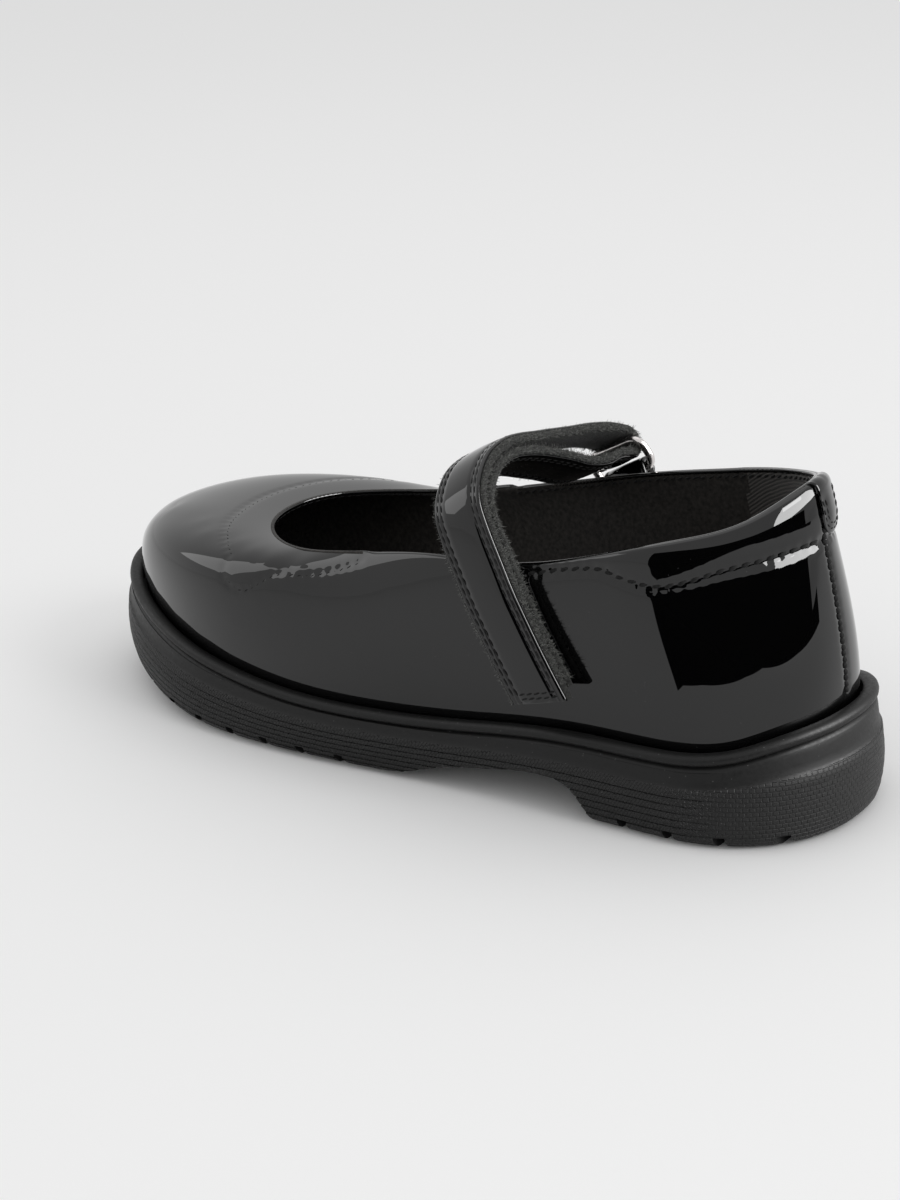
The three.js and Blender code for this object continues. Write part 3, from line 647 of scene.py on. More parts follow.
def upper_skin(name, outside, levels):
    bm = cad_copy("upper")
    bmesh.ops.join_triangles(bm, faces=bm.faces, angle_face_threshold=math.radians(60),
                             angle_shape_threshold=math.radians(60))
    bm.normal_update()
    axis_low, axis_high = place(42, 0, 30), place(190, 0, 30)
    drop = []
    for face in bm.faces:
        centre = face.calc_center_median()
        axis = Vector((min(max(centre.x, axis_low.x), axis_high.x), axis_low.y, axis_low.z))
        faces_out = face.normal.dot(centre - axis) > 0
        foot = face.normal.z < -0.75 and centre.z < 0.034 and abs(face.normal.z) > 0.75
        if faces_out != outside or foot:
            drop.append(face)
    bmesh.ops.delete(bm, geom=drop, context="FACES")
    print(name, "faces before smoothing:", len(bm.faces))
    skin = subdivide(new_object(name, bm), levels)
    bm = bmesh.new()
    bm.from_mesh(skin.data)
    hidden = [face for face in bm.faces
              if below_rim(face.calc_center_median()) > HIDDEN_FOOT]
    bmesh.ops.delete(bm, geom=hidden, context="FACES")
    bm.to_mesh(skin.data)
    bm.free()
    return skin


leather = upper_skin("patent_upper", True, 3)
lining = upper_skin("upper_lining", False, 2)
leather_tree = surface_of(leather)

# %% Seam lines
def smooth_line(points, step, closed=False):
    """Points every `step` millimetres along a smooth curve through the given ones."""
    given = [Vector(p) for p in points]
    ends = [given[-1]] if closed else [2 * given[0] - given[1]]
    tail = [given[0], given[1]] if closed else [2 * given[-1] - given[-2]]
    line = ends + given + tail
    fine = []
    for a, b, c, d in zip(line, line[1:], line[2:], line[3:]):
        for i in range(24):
            t = i / 24
            fine.append(0.5 * (2 * b + (c - a) * t + (2 * a - 5 * b + 4 * c - d) * t * t
                               + (3 * b - a - 3 * c + d) * t ** 3))
    if not closed:
        fine.append(given[-1])
    fine = np.array([list(p) for p in fine])
    lengths = np.concatenate([[0], np.cumsum(np.linalg.norm(np.diff(fine, axis=0), axis=1))])
    count = max(2, round(lengths[-1] / step) + 1)
    at = np.linspace(0, lengths[-1], count)
    return [Vector([np.interp(s, lengths, fine[:, k]) for k in range(3)]) for s in at]


def on_upper(points, step):
    """The line laid on the leather: (point, normal) pairs in metres."""
    laid = []
    for point in smooth_line(points, step):
        hit, normal, _, _ = leather_tree.find_nearest(place(*point))
        laid.append((hit, normal))
    return laid


COLLAR_OUTER = [(84, 34, 58.2), (71.7, 34, 59.6), (63.8, 33, 61.4), (57.8, 33, 62.8),
                (53.9, 33, 63.4), (51.1, 33, 63.0), (47.5, 33, 62.1), (42.9, 32, 61.3),
                (38.3, 31, 61), (33.6, 30, 62.1), (24.3, 26, 65.3), (16.5, 18, 67),
                (13.2, 8, 67.6), (12.6, 0.6, 67.4)]
COLLAR_INNER = [(84, -33, 61.0), (71.7, -32, 64.2), (63.8, -32, 66.0), (57.8, -32, 67.2),
                (53.0, -32, 68.0), (50.1, -31, 67.2), (46.5, -31, 65.0), (43, -31, 63.2),
                (39.9, -31, 62.6), (33.6, -30, 63.0), (24.3, -25, 65.3), (16.5, -17, 67),
                (13.2, -8, 67.6), (12.6, -0.6, 67.4)]
BACK_SEAM = [(13.2, 0, 76), (12.0, 0, 68), (10.8, 0, 62), (8.8, 0, 54), (7.0, 0, 46),
             (6.0, 0, 40), (5.5, 0, 30.5)]
INNER_SEAM = [(118.5, -33, 57.2), (114.8, -35, 53), (111.5, -37, 48.1), (108.2, -38, 42.5),
              (103.9, -38, 34.6), (100, -38, 27)]
THROAT = [(121, -34, 53.8), (134, -34, 47.6), (148.9, -33, 43.5), (157.9, -33, 41.3), (168.3, -31, 44.3), (178.8, -20, 47.5),
          (183.5, -2, 51), (178.8, 18, 47.5), (168.3, 30, 44.3), (157.9, 33, 41.3),
          (148.9, 34, 44.2), (134, 35, 48.6), (121, 34, 54.4)]
SEAMS = {
    "collar_outer": on_upper(COLLAR_OUTER, 1.0), "collar_inner": on_upper(COLLAR_INNER, 1.0),
    "back": on_upper(BACK_SEAM, 1.0), "inner_side": on_upper(INNER_SEAM, 1.0),
    "throat": on_upper(THROAT, 1.0),
}
print("seams:", {name: len(line) for name, line in SEAMS.items()})

# %% Line of stitches inside the rim
GRIP_LENGTH = 47  # the heel grip ends here


def rim_loop(obj, step, drop):
    """Points along the top edge of an open skin, in millimetres, lowered by `drop`."""
    bm = bmesh.new()
    bm.from_mesh(obj.data)
    edge = [v.co.copy() for v in bm.verts if v.is_boundary and below_rim(v.co) < -8]
    bm.free()
    middle = place(93, 0, 0)
    edge.sort(key=lambda co: math.atan2((co.y - middle.y) / 30, (co.x - middle.x) / 78))
    spots = [tuple((co - SHIFT) / MM - Vector((0, 0, drop))) for co in edge[::6]]
    return smooth_line(spots, step, closed=True)


RIM_LINE = rim_loop(lining, 1.0, 1.9)
print("rim line:", len(RIM_LINE), "points")

# %% Press the seams in
def distance_to(points, line):
    """For each point: its distance to the line and the place along it, in millimetres."""
    best, along = np.full(len(points), 1e9), np.zeros(len(points))
    travelled = 0.0
    for (a, _), (b, _) in zip(line, line[1:]):
        start, step = np.array(a), np.array(b) - np.array(a)
        length = np.linalg.norm(step)
        if length < 1e-9:
            continue
        t = np.clip((points - start) @ step / length ** 2, 0, 1)
        gap = np.linalg.norm(points - (start + t[:, None] * step), axis=1)
        closer = gap < best
        best[closer] = gap[closer]
        along[closer] = travelled + t[closer] * length
        travelled += length
    return best / MM, along / MM


TROUGHS = {"collar_outer": (0.55, 1.3), "collar_inner": (0.55, 1.3), "back": (0.5, 1.2),
           "inner_side": (0.35, 1.2), "throat": (0.22, 1.1)}  # depth and half width of each
STITCH = {"collar": 3.0, "back": 2.5, "strap": 2.6}


def press_seams(obj):
    mesh = obj.data
    count = len(mesh.vertices)
    co, normal = np.zeros(count * 3), np.zeros(count * 3)
    mesh.vertices.foreach_get("co", co)
    mesh.vertices.foreach_get("normal", normal)
    co, normal = co.reshape(-1, 3), normal.reshape(-1, 3)
    push = np.zeros(count)
    for name, (depth, width) in TROUGHS.items():
        away, along = distance_to(co, SEAMS[name])
        pull = 0.75 + 0.25 * np.cos(2 * np.pi * along / STITCH["collar"])
        push -= depth * pull * np.exp(-(away / width) ** 2)
    for name, side in (("collar_outer", 1), ("collar_inner", -1)):
        line = np.array([list(p) for p, _ in SEAMS[name]])
        order = np.argsort(line[:, 0])
        seam_height = np.interp(co[:, 0], line[order, 0], line[order, 2])
        above = (co[:, 2] - seam_height) / MM
        x = (co[:, 0] - SHIFT.x) / MM
        on_side = (co[:, 1] - SHIFT.y) * side > 0
        swell = np.clip(above / 5, 0, 1) ** 0.6 * np.clip((88 - x) / 20, 0, 1)
        outward = np.clip(np.linalg.norm(normal[:, :2], axis=1), 0, 1) ** 2
        push += np.where(on_side & (above > 0), 0.9 * swell * outward, 0)
    co += normal * (push * MM)[:, None]
    mesh.vertices.foreach_set("co", co.ravel())
    mesh.update()


press_seams(leather)
leather_tree = surface_of(leather)
solidify(leather, 1.0, -1)
leather.data.materials.append(PATENT)
leather.data.shade_smooth()
finish_piece(leather, "upper", slot="patent")
solidify(lining, 0.9, -1)
lining.data.materials.append(LINING)
lining.data.materials.append(HEEL_GRIP)
grip_end = place(GRIP_LENGTH, 0, 0).x
for polygon in lining.data.polygons:
    polygon.material_index = int(polygon.center.x < grip_end)
lining.data.shade_smooth()
finish_piece(lining, slot="lining")
lining_tree = surface_of(lining)

# %% [markdown]
# Stitches are short beads of thread laid end to end on the leather, each tilted a little into
# the twist of the thread. One low sphere is copied along each seam.

# %% Stitches
def bead(bm, middle, along, normal, length, width, height):
    side = normal.cross(along).normalized()
    along = side.cross(normal).normalized()
    turn = Matrix((along, side, normal)).transposed().to_4x4()
    scale = Matrix.Diagonal((length / 2 * MM, width / 2 * MM, height / 2 * MM, 1))
    matrix = Matrix.Translation(middle) @ turn @ scale
    bmesh.ops.create_uvsphere(bm, u_segments=8, v_segments=6, radius=1, matrix=matrix)


def resample(line, pitch):
    co = np.array([list(p) for p, _ in line])
    no = np.array([list(n) for _, n in line])
    s = np.concatenate([[0], np.cumsum(np.linalg.norm(np.diff(co, axis=0), axis=1))]) / MM
    at = np.arange(0, s[-1], pitch)
    pick = lambda array: [Vector([np.interp(t, s, array[:, k]) for k in range(3)]) for t in at]
    return list(zip(pick(co), [n.normalized() for n in pick(no)]))


def lay_stitches(bm, line, pitch, width, sink=0.15, twist=0.35, fill=0.86):
    points = resample(line, pitch)
    for (a, normal), (b, _) in zip(points, points[1:]):
        along = (b - a).normalized()
        side = normal.cross(along)
        direction = (along + side * twist).normalized()
        bead(bm, (a + b) / 2 - normal * sink * MM, direction, normal, pitch * fill, width, width)


def relaid(line, lift=0.0):
    laid = []
    for point, normal in line:
        hit, found, _, _ = leather_tree.find_nearest(point)
        laid.append((hit + found * lift * MM, found))
    return laid


def make_upper_stitches():
    bm = bmesh.new()
    lay_stitches(bm, relaid(SEAMS["collar_outer"]), STITCH["collar"], 1.1, sink=0.05)
    lay_stitches(bm, relaid(SEAMS["collar_inner"]), STITCH["collar"], 1.1, sink=0.05)
    lay_stitches(bm, relaid(SEAMS["back"]), 1.5, 1.5, twist=0.7, fill=1.25)
    lay_stitches(bm, relaid(SEAMS["inner_side"]), 2.6, 0.7)
    second = [(p + Vector((2.2 * MM, 0, 0)), n) for p, n in SEAMS["inner_side"]]
    lay_stitches(bm, relaid(second), 2.6, 0.7)
    inside = [lining_tree.find_nearest(place(*point))[:2] for point in RIM_LINE]
    lay_stitches(bm, [(p, n) for p, n in inside], 2.4, 0.6, sink=0.0)
    beside = [(p - Vector((1.3 * MM, 0, 0)), n) for p, n in SEAMS["throat"]]
    lay_stitches(bm, relaid(beside), 2.2, 0.42, fill=0.75)
    return new_object("upper_stitches", bm, THREAD)


finish_piece(make_upper_stitches(), slot="thread")

# %% Insole
insole_bm = cad_copy("insole")
bmesh.ops.join_triangles(insole_bm, faces=insole_bm.faces,
                         angle_face_threshold=math.radians(30),
                         angle_shape_threshold=math.radians(60))
insole = subdivide(new_object("sock", insole_bm), 1)
insole.data.materials.append(LINING)
finish_piece(insole, "insole", slot="lining")

# %% [markdown]
# The strap is one ribbon: it leaves the outer quarter, goes over the instep, round the ring's
# upper bar and back over itself. Its two faces are two pieces, patent outside and loop pile
# inside, each swept along the same hairpin at its own depth.

# %% The strap's plane and hairpin
STRAP_FOOT, STRAP_TILT, STRAP_SKEW, STRAP_WIDTH = 52.3, 0.53, 0.088, 15.4
STRAP_THICK, HOOK_GAP, BEND = 2.7, 0.7, 2.0
UPPER_BAR, LOWER_BAR = (-36.3, 68.0), (-38.6, 60.8)
STRAP_ARCH = [(36.6, 68, 0.7), (35, 73, 0.7), (30.5, 76.7, 0.7), (24.5, 79.2, 0.7),
              (17, 79.9, 0.8), (10.7, 79.1, 1.2), (4.6, 77.7, 1.8), (-1.5, 76.1, 3.0),
              (-8, 74.3, 4.4), (-14.5, 72.4, 6.2), (-22, 70.9, 6.6), (-29.5, 69.9, 5.0)]
ACROSS = Vector((1, STRAP_SKEW, -STRAP_TILT)).normalized()
RISE = Vector((STRAP_TILT, 0, 1)).normalized()
ALONG = RISE.cross(ACROSS).normalized()
MEDIAL_TWIST = -0.2


def in_plane(y, z):
    point = Vector((STRAP_TILT * z - STRAP_SKEW * y, y, z))
    return Vector((point.dot(ALONG), point.dot(RISE)))


def width_at(along):
    turn = 0 if along > 0 else MEDIAL_TWIST * min(abs(along) / 37, 1)
    return (ACROSS + ALONG * turn).normalized()


def from_plane(flat, across):
    """A point of the strap's plane, moved across the strap, in metres."""
    point = (Vector((STRAP_FOOT, 0, 0)) + ALONG * flat.x + RISE * flat.y
             + width_at(flat.x) * across)
    return place(*point)


def beside_quarter(side, z, width):
    """y of the leather at the strap's middle and edges, whichever stands out furthest."""
    y, found = side * 36, []
    middle = Vector((STRAP_FOOT + STRAP_TILT * z - STRAP_SKEW * y, y, z))
    for edge in (-1, 0, 1):
        start = middle + width_at(y) * (edge * width / 2)
        lean, start.y = start.y - y, side * 100
        hit = leather_tree.ray_cast(place(*start), Vector((0, -side, 0)))[0]
        if hit is not None:
            found.append(side * ((hit.y - SHIFT.y) / MM - lean))
    return side * max(found)


def hairpin(middle, gaps, bar, bend, depth, steps_round=14):
    """The line at this depth outside the slit: down one run, round the bar, up the other."""
    line = np.array([list(p) for p in middle])
    tangent = np.gradient(line, axis=0)
    tangent /= np.linalg.norm(tangent, axis=1)[:, None]
    side = np.stack([tangent[:, 1], -tangent[:, 0]], 1)
    reach = (np.array(gaps) + depth)[:, None]
    centre = np.array(list(bar))
    facing = math.atan2(side[-1, 1], side[-1, 0])
    turn = [facing + math.pi * (1 - i / steps_round) for i in range(1, steps_round)]
    arc = np.array([centre + (bend + depth) * np.array([math.cos(a), math.sin(a)]) for a in turn])
    return [Vector(p) for p in np.concatenate([line - side * reach, arc, (line + side * reach)[::-1]])]


def strap_middle():
    beside = STRAP_THICK + HOOK_GAP / 2 + 0.3
    rows = []
    for z in (25.6, 31, 36, 42, 48, 54, 60):
        flat = in_plane(beside_quarter(1, z, STRAP_WIDTH) + beside, z)
        rows.append((flat.x, flat.y, HOOK_GAP / 2))
    for y, z, gap in STRAP_ARCH:
        flat = in_plane(y, z)
        rows.append((flat.x, flat.y, gap / 2))
    bar = in_plane(*UPPER_BAR)
    rows.append((bar.x, bar.y, BEND))
    fine = smooth_line(rows, 1.6)
    return [Vector((p.x, p.y)) for p in fine], [p.z for p in fine], bar


middle, gaps, bar = strap_middle()
print("strap's middle line:", len(middle), "points")

# %% Sweep the two faces of the strap
def sweep(name, lines, section, material, trim=None):
    """A ribbon: `lines` gives the hairpin at each depth, `section` the (across, depth) points."""
    bm = bmesh.new()
    uv = bm.loops.layers.uv.new("ribbon")
    count = len(next(iter(lines.values())))
    tags = {}
    verts = [bm.verts.new(from_plane(lines[d][0], a)) for a, d in section]
    for k, vert in enumerate(verts):
        tags[vert] = (0, k)
    edges = [bm.edges.new(pair) for pair in zip(verts, verts[1:] + verts[:1])]
    start_face = bm.faces.new(verts)
    for i in range(1, count):
        made = bmesh.ops.extrude_edge_only(bm, edges=edges)["geom"]
        edges = [g for g in made if isinstance(g, bmesh.types.BMEdge)]
        above = {}
        for face in (g for g in made if isinstance(g, bmesh.types.BMFace)):
            for edge in face.edges:
                a, b = edge.verts
                if (a in tags) != (b in tags):
                    above[a if a in tags else b] = b if a in tags else a
        verts = [above[v] for v in verts]
        for k, (vert, (a, d)) in enumerate(zip(verts, section)):
            vert.co = from_plane(lines[d][i], a)
            tags[vert] = (i, k)
    end_face = bm.faces.new(verts)
    for face in bm.faces:
        for loop in face.loops:
            i, k = tags[loop.vert]
            loop[uv].uv = (section[k][0], i * 1.6)
    bmesh.ops.recalc_face_normals(bm, faces=bm.faces)
    if trim is not None:
        where, normal = trim
        cut = bmesh.ops.bisect_plane(bm, geom=bm.verts[:] + bm.edges[:] + bm.faces[:],
                                     plane_co=where, plane_no=normal, clear_outer=True)
        open_edges = [g for g in cut["geom_cut"] if isinstance(g, bmesh.types.BMEdge)]
        bmesh.ops.edgeloop_fill(bm, edges=open_edges)
        bmesh.ops.recalc_face_normals(bm, faces=bm.faces)
    return new_object(name, bm, material)


FACE_SECTION = [(-7.1, 1.95), (-7.05, 2.3), (-6.6, 2.6), (-6.2, 2.66), (-5.9, 2.4), (-5.6, 2.62),
                (-5.0, 2.64), (-4.7, 2.38), (-4.4, 2.64), (-3, 2.8), (0, 2.9), (3, 2.8),
                (4.4, 2.64), (4.7, 2.38), (5.0, 2.64), (5.6, 2.62), (5.9, 2.4), (6.2, 2.66),
                (6.6, 2.6), (7.05, 2.3), (7.1, 1.95)]
PILE_SECTION = [(-7.3, 0.0), (-7.6, 0.3), (-7.7, 0.9), (-7.6, 1.6), (-7.2, 1.9),
                (7.1, 1.9), (7.4, 1.6), (7.5, 0.9), (7.4, 0.3), (7.1, 0.0)]
END_CUT = (place(65.6, 40, 30.6), Vector((-math.sin(0.24), 0, -math.cos(0.24))))
SEWN_FROM = 4  # the inner run starts this many points up the middle line


def strap_lines(section):
    return {d: hairpin(middle, gaps, bar, BEND, d)[SEWN_FROM:] for d in {d for _, d in section}}


face = sweep("strap_patent", strap_lines(FACE_SECTION), FACE_SECTION, PATENT, END_CUT)
finish_piece(face, "strap", slot="patent")
pile = sweep("strap_loop_side", strap_lines(PILE_SECTION), PILE_SECTION, LOOPS, END_CUT)
finish_piece(pile, slot="lining")
strap_tree = surface_of(face)

# %% [markdown]
# Two rows of stitches hold the two faces together along both edges and across the free end.
# Hooks stand between the runs, and the cut edge of the pile is fuzzy: thousands of hairs, each
# a bare three-sided spike.

# %% Strap stitches
def strap_row(across, start, end):
    """Points on the outer face along one stitch row, as (point, normal)."""
    lines = {d: hairpin(middle, gaps, bar, BEND, d)[SEWN_FROM:] for d in (2.2, 2.45)}
    row = []
    for low, high in zip(lines[2.2][start:end], lines[2.45][start:end]):
        point, above = from_plane(high, across), from_plane(low, across)
        row.append((point, (point - above).normalized()))
    return row


face_tree = surface_of(face)


def end_row(inset):
    """A row across the free end, this far inside its cut."""
    where, normal = END_CUT
    row = []
    for across in np.linspace(-5.6, 5.6, 15):
        run = strap_row(across, 0, len(hairpin(middle, gaps, bar, BEND, 0)) - SEWN_FROM)
        inside = [(where - point).dot(normal) / MM - inset for point, _ in run]
        last = next(i for i in range(len(run) - 1, 0, -1) if inside[i] > 0)
        share = inside[last] / (inside[last] - inside[last + 1])
        under = run[last][0].lerp(run[last + 1][0], share)
        on_face, _, _, _ = face_tree.find_nearest(under + run[last][1] * MM)
        row.append((on_face, run[last][1]))
    return row


def make_strap_stitches():
    bm = bmesh.new()
    total = len(hairpin(middle, gaps, bar, BEND, 0)) - SEWN_FROM
    end = total - 5
    for across in (-5.9, -4.7, 4.7, 5.9):
        lay_stitches(bm, strap_row(across, 0, end), STITCH["strap"], 0.5, sink=-0.05, twist=0.15)
    for inset in (1.3, 2.5):
        lay_stitches(bm, end_row(inset), 2.0, 0.5, sink=-0.05, twist=0.15)
    return new_object("strap_stitches", bm, THREAD)


finish_piece(make_strap_stitches(), slot="thread")

# %% Hooks and fuzz
def hair(bm, root, tip, width):
    """A thin three-sided spike."""
    axis = (tip - root).normalized()
    side = axis.orthogonal().normalized()
    other = axis.cross(side)
    base = [bm.verts.new(root + (side * math.cos(a) + other * math.sin(a)) * width / 2 * MM)
            for a in (0, 2.1, 4.2)]
    top = bm.verts.new(tip)
    for a, b in zip(base, base[1:] + base[:1]):
        bm.faces.new((a, b, top))
    bm.faces.new(base[::-1])


def make_fuzz():
    bm = bmesh.new()
    inner = hairpin(middle, gaps, bar, BEND, -0.1)[SEWN_FROM:]
    outer = hairpin(middle, gaps, bar, BEND, 1.9)[SEWN_FROM:]
    total = len(inner)
    for i in range(1, total - 6):
        for _ in range(60):
            side = random.choice((-1, -1, 1))
            depth, share = random.random(), random.random()
            low = inner[i].lerp(inner[i + 1], share)
            high = outer[i].lerp(outer[i + 1], share)
            flat = low.lerp(high, depth)
            edge = side * 7.35
            root = from_plane(flat, edge)
            lean = Vector((random.uniform(-0.9, 0.9), random.uniform(-0.9, 0.9)))
            tip = from_plane(flat + lean, edge + side * random.uniform(0.3, 1.3))
            hair(bm, root, tip, random.uniform(0.1, 0.24))
    return new_object("strap_fuzz", bm, FUZZ)


finish_piece(make_fuzz(), slot="lining")


def make_hooks():
    bm = bmesh.new()
    run = hairpin(middle, gaps, bar, BEND, 0.0)[SEWN_FROM:]
    count = len(middle) - SEWN_FROM
    for i in range(0, count - 6):
        gap = gaps[i + SEWN_FROM] * 2
        point, after = run[i], run[i + 1]
        inward = (after - point).normalized()
        up = Vector((inward.y, -inward.x))
        for row in range(11):
            across = -7.2 + row * 1.35 + random.uniform(-0.3, 0.3)
            flat = point.lerp(after, random.random())
            tall = min(gap * 0.95, random.uniform(1.1, 1.9))
            tip = flat + up * tall + inward * random.uniform(-0.3, 0.3)
            hair(bm, from_plane(flat, across), from_plane(tip, across), 0.22)
    return new_object("strap_hooks", bm, FUZZ)


finish_piece(make_hooks(), slot="lining")

# %% [markdown]
# The ring is bent wire: a circle swept round a loop with round corners. The tab that holds it
# is a doubled strip of patent folded round the lower bar.

# %% Ring
RING_WIRE, RING_LENGTH, RING_CORNER = 2.2, 19.4, 3.3


def make_ring():
    upper = from_plane(in_plane(*UPPER_BAR), 0)
    lower = from_plane(in_plane(*LOWER_BAR), 0)
    centre, rise = (upper + lower) / 2, (upper - lower)
    half_height = rise.length / MM / 2
    rise.normalize()
    wide = width_at(in_plane(*UPPER_BAR).x)
    normal = wide.cross(rise).normalized()
    bm = bmesh.new()
    loops = []
    steps, sides = 8, 16
    for quarter, (x, y) in enumerate([(1, 1), (-1, 1), (-1, -1), (1, -1)]):
        middle_ = centre + (wide * x * (RING_LENGTH / 2 - RING_CORNER)
                            + rise * y * (half_height - RING_CORNER)) * MM
        for i in range(steps + 1):
            angle = (quarter + i / steps) * math.pi / 2
            out = wide * math.cos(angle) + rise * math.sin(angle)
            wire = middle_ + out * RING_CORNER * MM
            turn = Matrix((out, normal, out.cross(normal))).transposed().to_4x4()
            made = bmesh.ops.create_circle(bm, cap_ends=False, segments=sides,
                                           radius=RING_WIRE / 2 * MM,
                                           matrix=Matrix.Translation(wire) @ turn)
            loops.append(made["verts"])
    for a, b in zip(loops, loops[1:] + loops[:1]):
        edges = {e for v in a + b for e in v.link_edges if e.other_vert(v) in a + b}
        ring_edges = [e for e in edges if (e.verts[0] in a) == (e.verts[1] in a)]
        bmesh.ops.bridge_loops(bm, edges=ring_edges)
    bmesh.ops.recalc_face_normals(bm, faces=bm.faces)
    return new_object("wire_ring", bm, WIRE)


finish_piece(make_ring(), "ring", slot="wire")

# %% Ring tab
TAB_HALF, TAB_THICK, TAB_BEND = 7.45, 1.25, 1.6
TAB_SECTION = [(-7.45, 0.1), (-7.45, 0.9), (-7.2, 1.2), (-6.3, 1.22), (-6.0, 1.0), (-5.7, 1.22),
               (0, 1.32), (5.7, 1.22), (6.0, 1.0), (6.3, 1.22), (7.2, 1.2), (7.45, 0.9),
               (7.45, 0.1)]


def make_tab():
    rows = []
    for z in (42.5, 45, 48, 51.5, 55):
        flat = in_plane(beside_quarter(-1, z, 2 * TAB_HALF) - TAB_THICK - 0.3, z)
        rows.append((flat.x, flat.y, 0.0))
    low_bar = in_plane(*LOWER_BAR)
    near = Vector((rows[-1][0], rows[-1][1])).lerp(low_bar, 0.55)
    rows += [(near.x, near.y, 0.7), (low_bar.x, low_bar.y, TAB_BEND)]
    fine = smooth_line(rows, 1.0)
    line, opening = [Vector((p.x, p.y)) for p in fine], [max(0, p.z) for p in fine]
    depths = {d for _, d in TAB_SECTION}
    lines = {d: hairpin(line, opening, low_bar, TAB_BEND, d) for d in depths}
    return sweep("ring_tab_patent", lines, TAB_SECTION, PATENT), line, opening, low_bar


tab, tab_line, tab_opening, low_bar = make_tab()
finish_piece(tab, "ring_tab", slot="patent")


def make_tab_stitches():
    bm = bmesh.new()
    outer = [hairpin(tab_line, tab_opening, low_bar, TAB_BEND, d) for d in (0.9, 1.15)]
    size = len(outer[0])
    # the medial run comes first in the hairpin, so its own face is the one that shows
    face_run = range(1, len(tab_line) - 7)
    for across in (-6.0, 6.0):
        row = []
        for i in face_run:
            point, under = from_plane(outer[1][i], across), from_plane(outer[0][i], across)
            row.append((point, (point - under).normalized()))
        lay_stitches(bm, row, 2.2, 0.5, sink=-0.02, twist=0.1)
    for i in (2, len(tab_line) - 8):
        row = []
        for across in np.linspace(-6.0, 6.0, 13):
            point, under = from_plane(outer[1][i], across), from_plane(outer[0][i], across)
            row.append((point, (point - under).normalized()))
        lay_stitches(bm, row, 2.2, 0.5, sink=-0.02, twist=0.1)
    return new_object("ring_tab_stitches", bm, THREAD)


finish_piece(make_tab_stitches(), slot="thread")

# %% [markdown]
# The back tab is a strip of patent folded over the collar at the back seam. A grid is laid on
# the leather by rays: up the outside, over the rim and down the lining.

# %% Back tab
TAB_INNER, TAB_OUTER, TAB_BOTTOM, TAB_ROUND = -9.5, 1.5, 68.0, 4.5
RIM_ROUND, CLOSE = 1.3, 0.12 * MM


def from_behind(tree, y, z):
    """Where a ray from behind the shoe meets a surface, or None."""
    return tree.ray_cast(place(-30, y, z), Vector((1, 0, 0)))[0]


def rim_top(y):
    """Height of the rim at the back, at this distance from the middle."""
    z = (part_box("upper")[1].z) / MM
    while from_behind(leather_tree, y, z) is None:
        z -= 0.2
    return z


def make_back_tab():
    bm = bmesh.new()
    columns, rows = 13, 25
    made = bmesh.ops.create_grid(bm, x_segments=columns - 1, y_segments=rows - 1, size=1)
    verts = sorted(made["verts"], key=lambda v: (round(v.co.x, 4), round(v.co.y, 4)))
    width = TAB_OUTER - TAB_INNER
    tops = [rim_top(TAB_INNER + width * i / (columns - 1)) for i in range(columns)]
    for index, vert in enumerate(verts):
        column, row = divmod(index, rows)
        y = TAB_INNER + (TAB_OUTER - TAB_INNER) * column / (columns - 1)
        edge = max(0, TAB_ROUND - min(y - TAB_INNER, TAB_OUTER - y))
        bottom = TAB_BOTTOM + TAB_ROUND - math.sqrt(max(0, TAB_ROUND ** 2 - edge ** 2))
        share = row / (rows - 1)
        turn_over = tops[column] - RIM_ROUND
        over = from_behind(leather_tree, y, turn_over)
        if share < 0.6:
            z = bottom + (turn_over - bottom) * share / 0.6
            hit = from_behind(leather_tree, y, z)
            point = Vector((hit.x - CLOSE, hit.y, hit.z))
        elif share < 0.8:
            angle = math.pi * (share - 0.6) / 0.2
            across = (1 - math.cos(angle)) * RIM_ROUND * MM
            point = Vector((over.x - CLOSE + across, over.y,
                            (turn_over + RIM_ROUND * 1.1 * math.sin(angle)) * MM))
        else:
            z = turn_over - 9 * (share - 0.8) / 0.2
            inner = lining_tree.ray_cast(place(60, y, z), Vector((-1, 0, 0)))[0]
            deepest = over.x - CLOSE + 2 * RIM_ROUND * MM
            point = Vector((max(inner.x + CLOSE, deepest), over.y, z * MM))
        vert.co = point
    bm.normal_update()
    bmesh.ops.recalc_face_normals(bm, faces=bm.faces)
    obj = subdivide(new_object("back_tab_patent", bm), 1)
    return solidify(obj, 0.7, 1)


back_tab = make_back_tab()
back_tab.data.materials.append(PATENT)
back_tab.data.shade_smooth()
finish_piece(back_tab, "back_tab", slot="patent")


def make_back_tab_stitches():
    """Two rows of stitches follow the rounded end of the tab."""
    bm = bmesh.new()
    tree = surface_of(back_tab)
    for inset in (1.1, 2.3):
        low, high = TAB_INNER + inset, TAB_OUTER - inset
        bottom, bend = TAB_BOTTOM + inset, TAB_ROUND - inset
        outline_ = [(low, 78), (low, bottom + bend)]
        turns = [math.pi * (1 + 0.5 * i / 4) for i in range(1, 5)]
        outline_ += [(low + bend + bend * math.cos(a), bottom + bend + bend * math.sin(a))
                     for a in turns]
        turns = [math.pi * (1.5 + 0.5 * i / 4) for i in range(5)]
        outline_ += [(high - bend + bend * math.cos(a), bottom + bend + bend * math.sin(a))
                     for a in turns]
        outline_ += [(high, 78)]
        row = []
        for y, z in ((p.x, p.y) for p in smooth_line([(y, z, 0) for y, z in outline_], 0.5)):
            hit, normal, _, _ = tree.ray_cast(place(-30, y, z), Vector((1, 0, 0)))
            if hit is not None:
                row.append((hit, normal))
        lay_stitches(bm, row, 1.9, 0.45, sink=0.05, twist=0.15)
    return new_object("back_tab_stitches", bm, THREAD)


finish_piece(make_back_tab_stitches(), slot="thread")

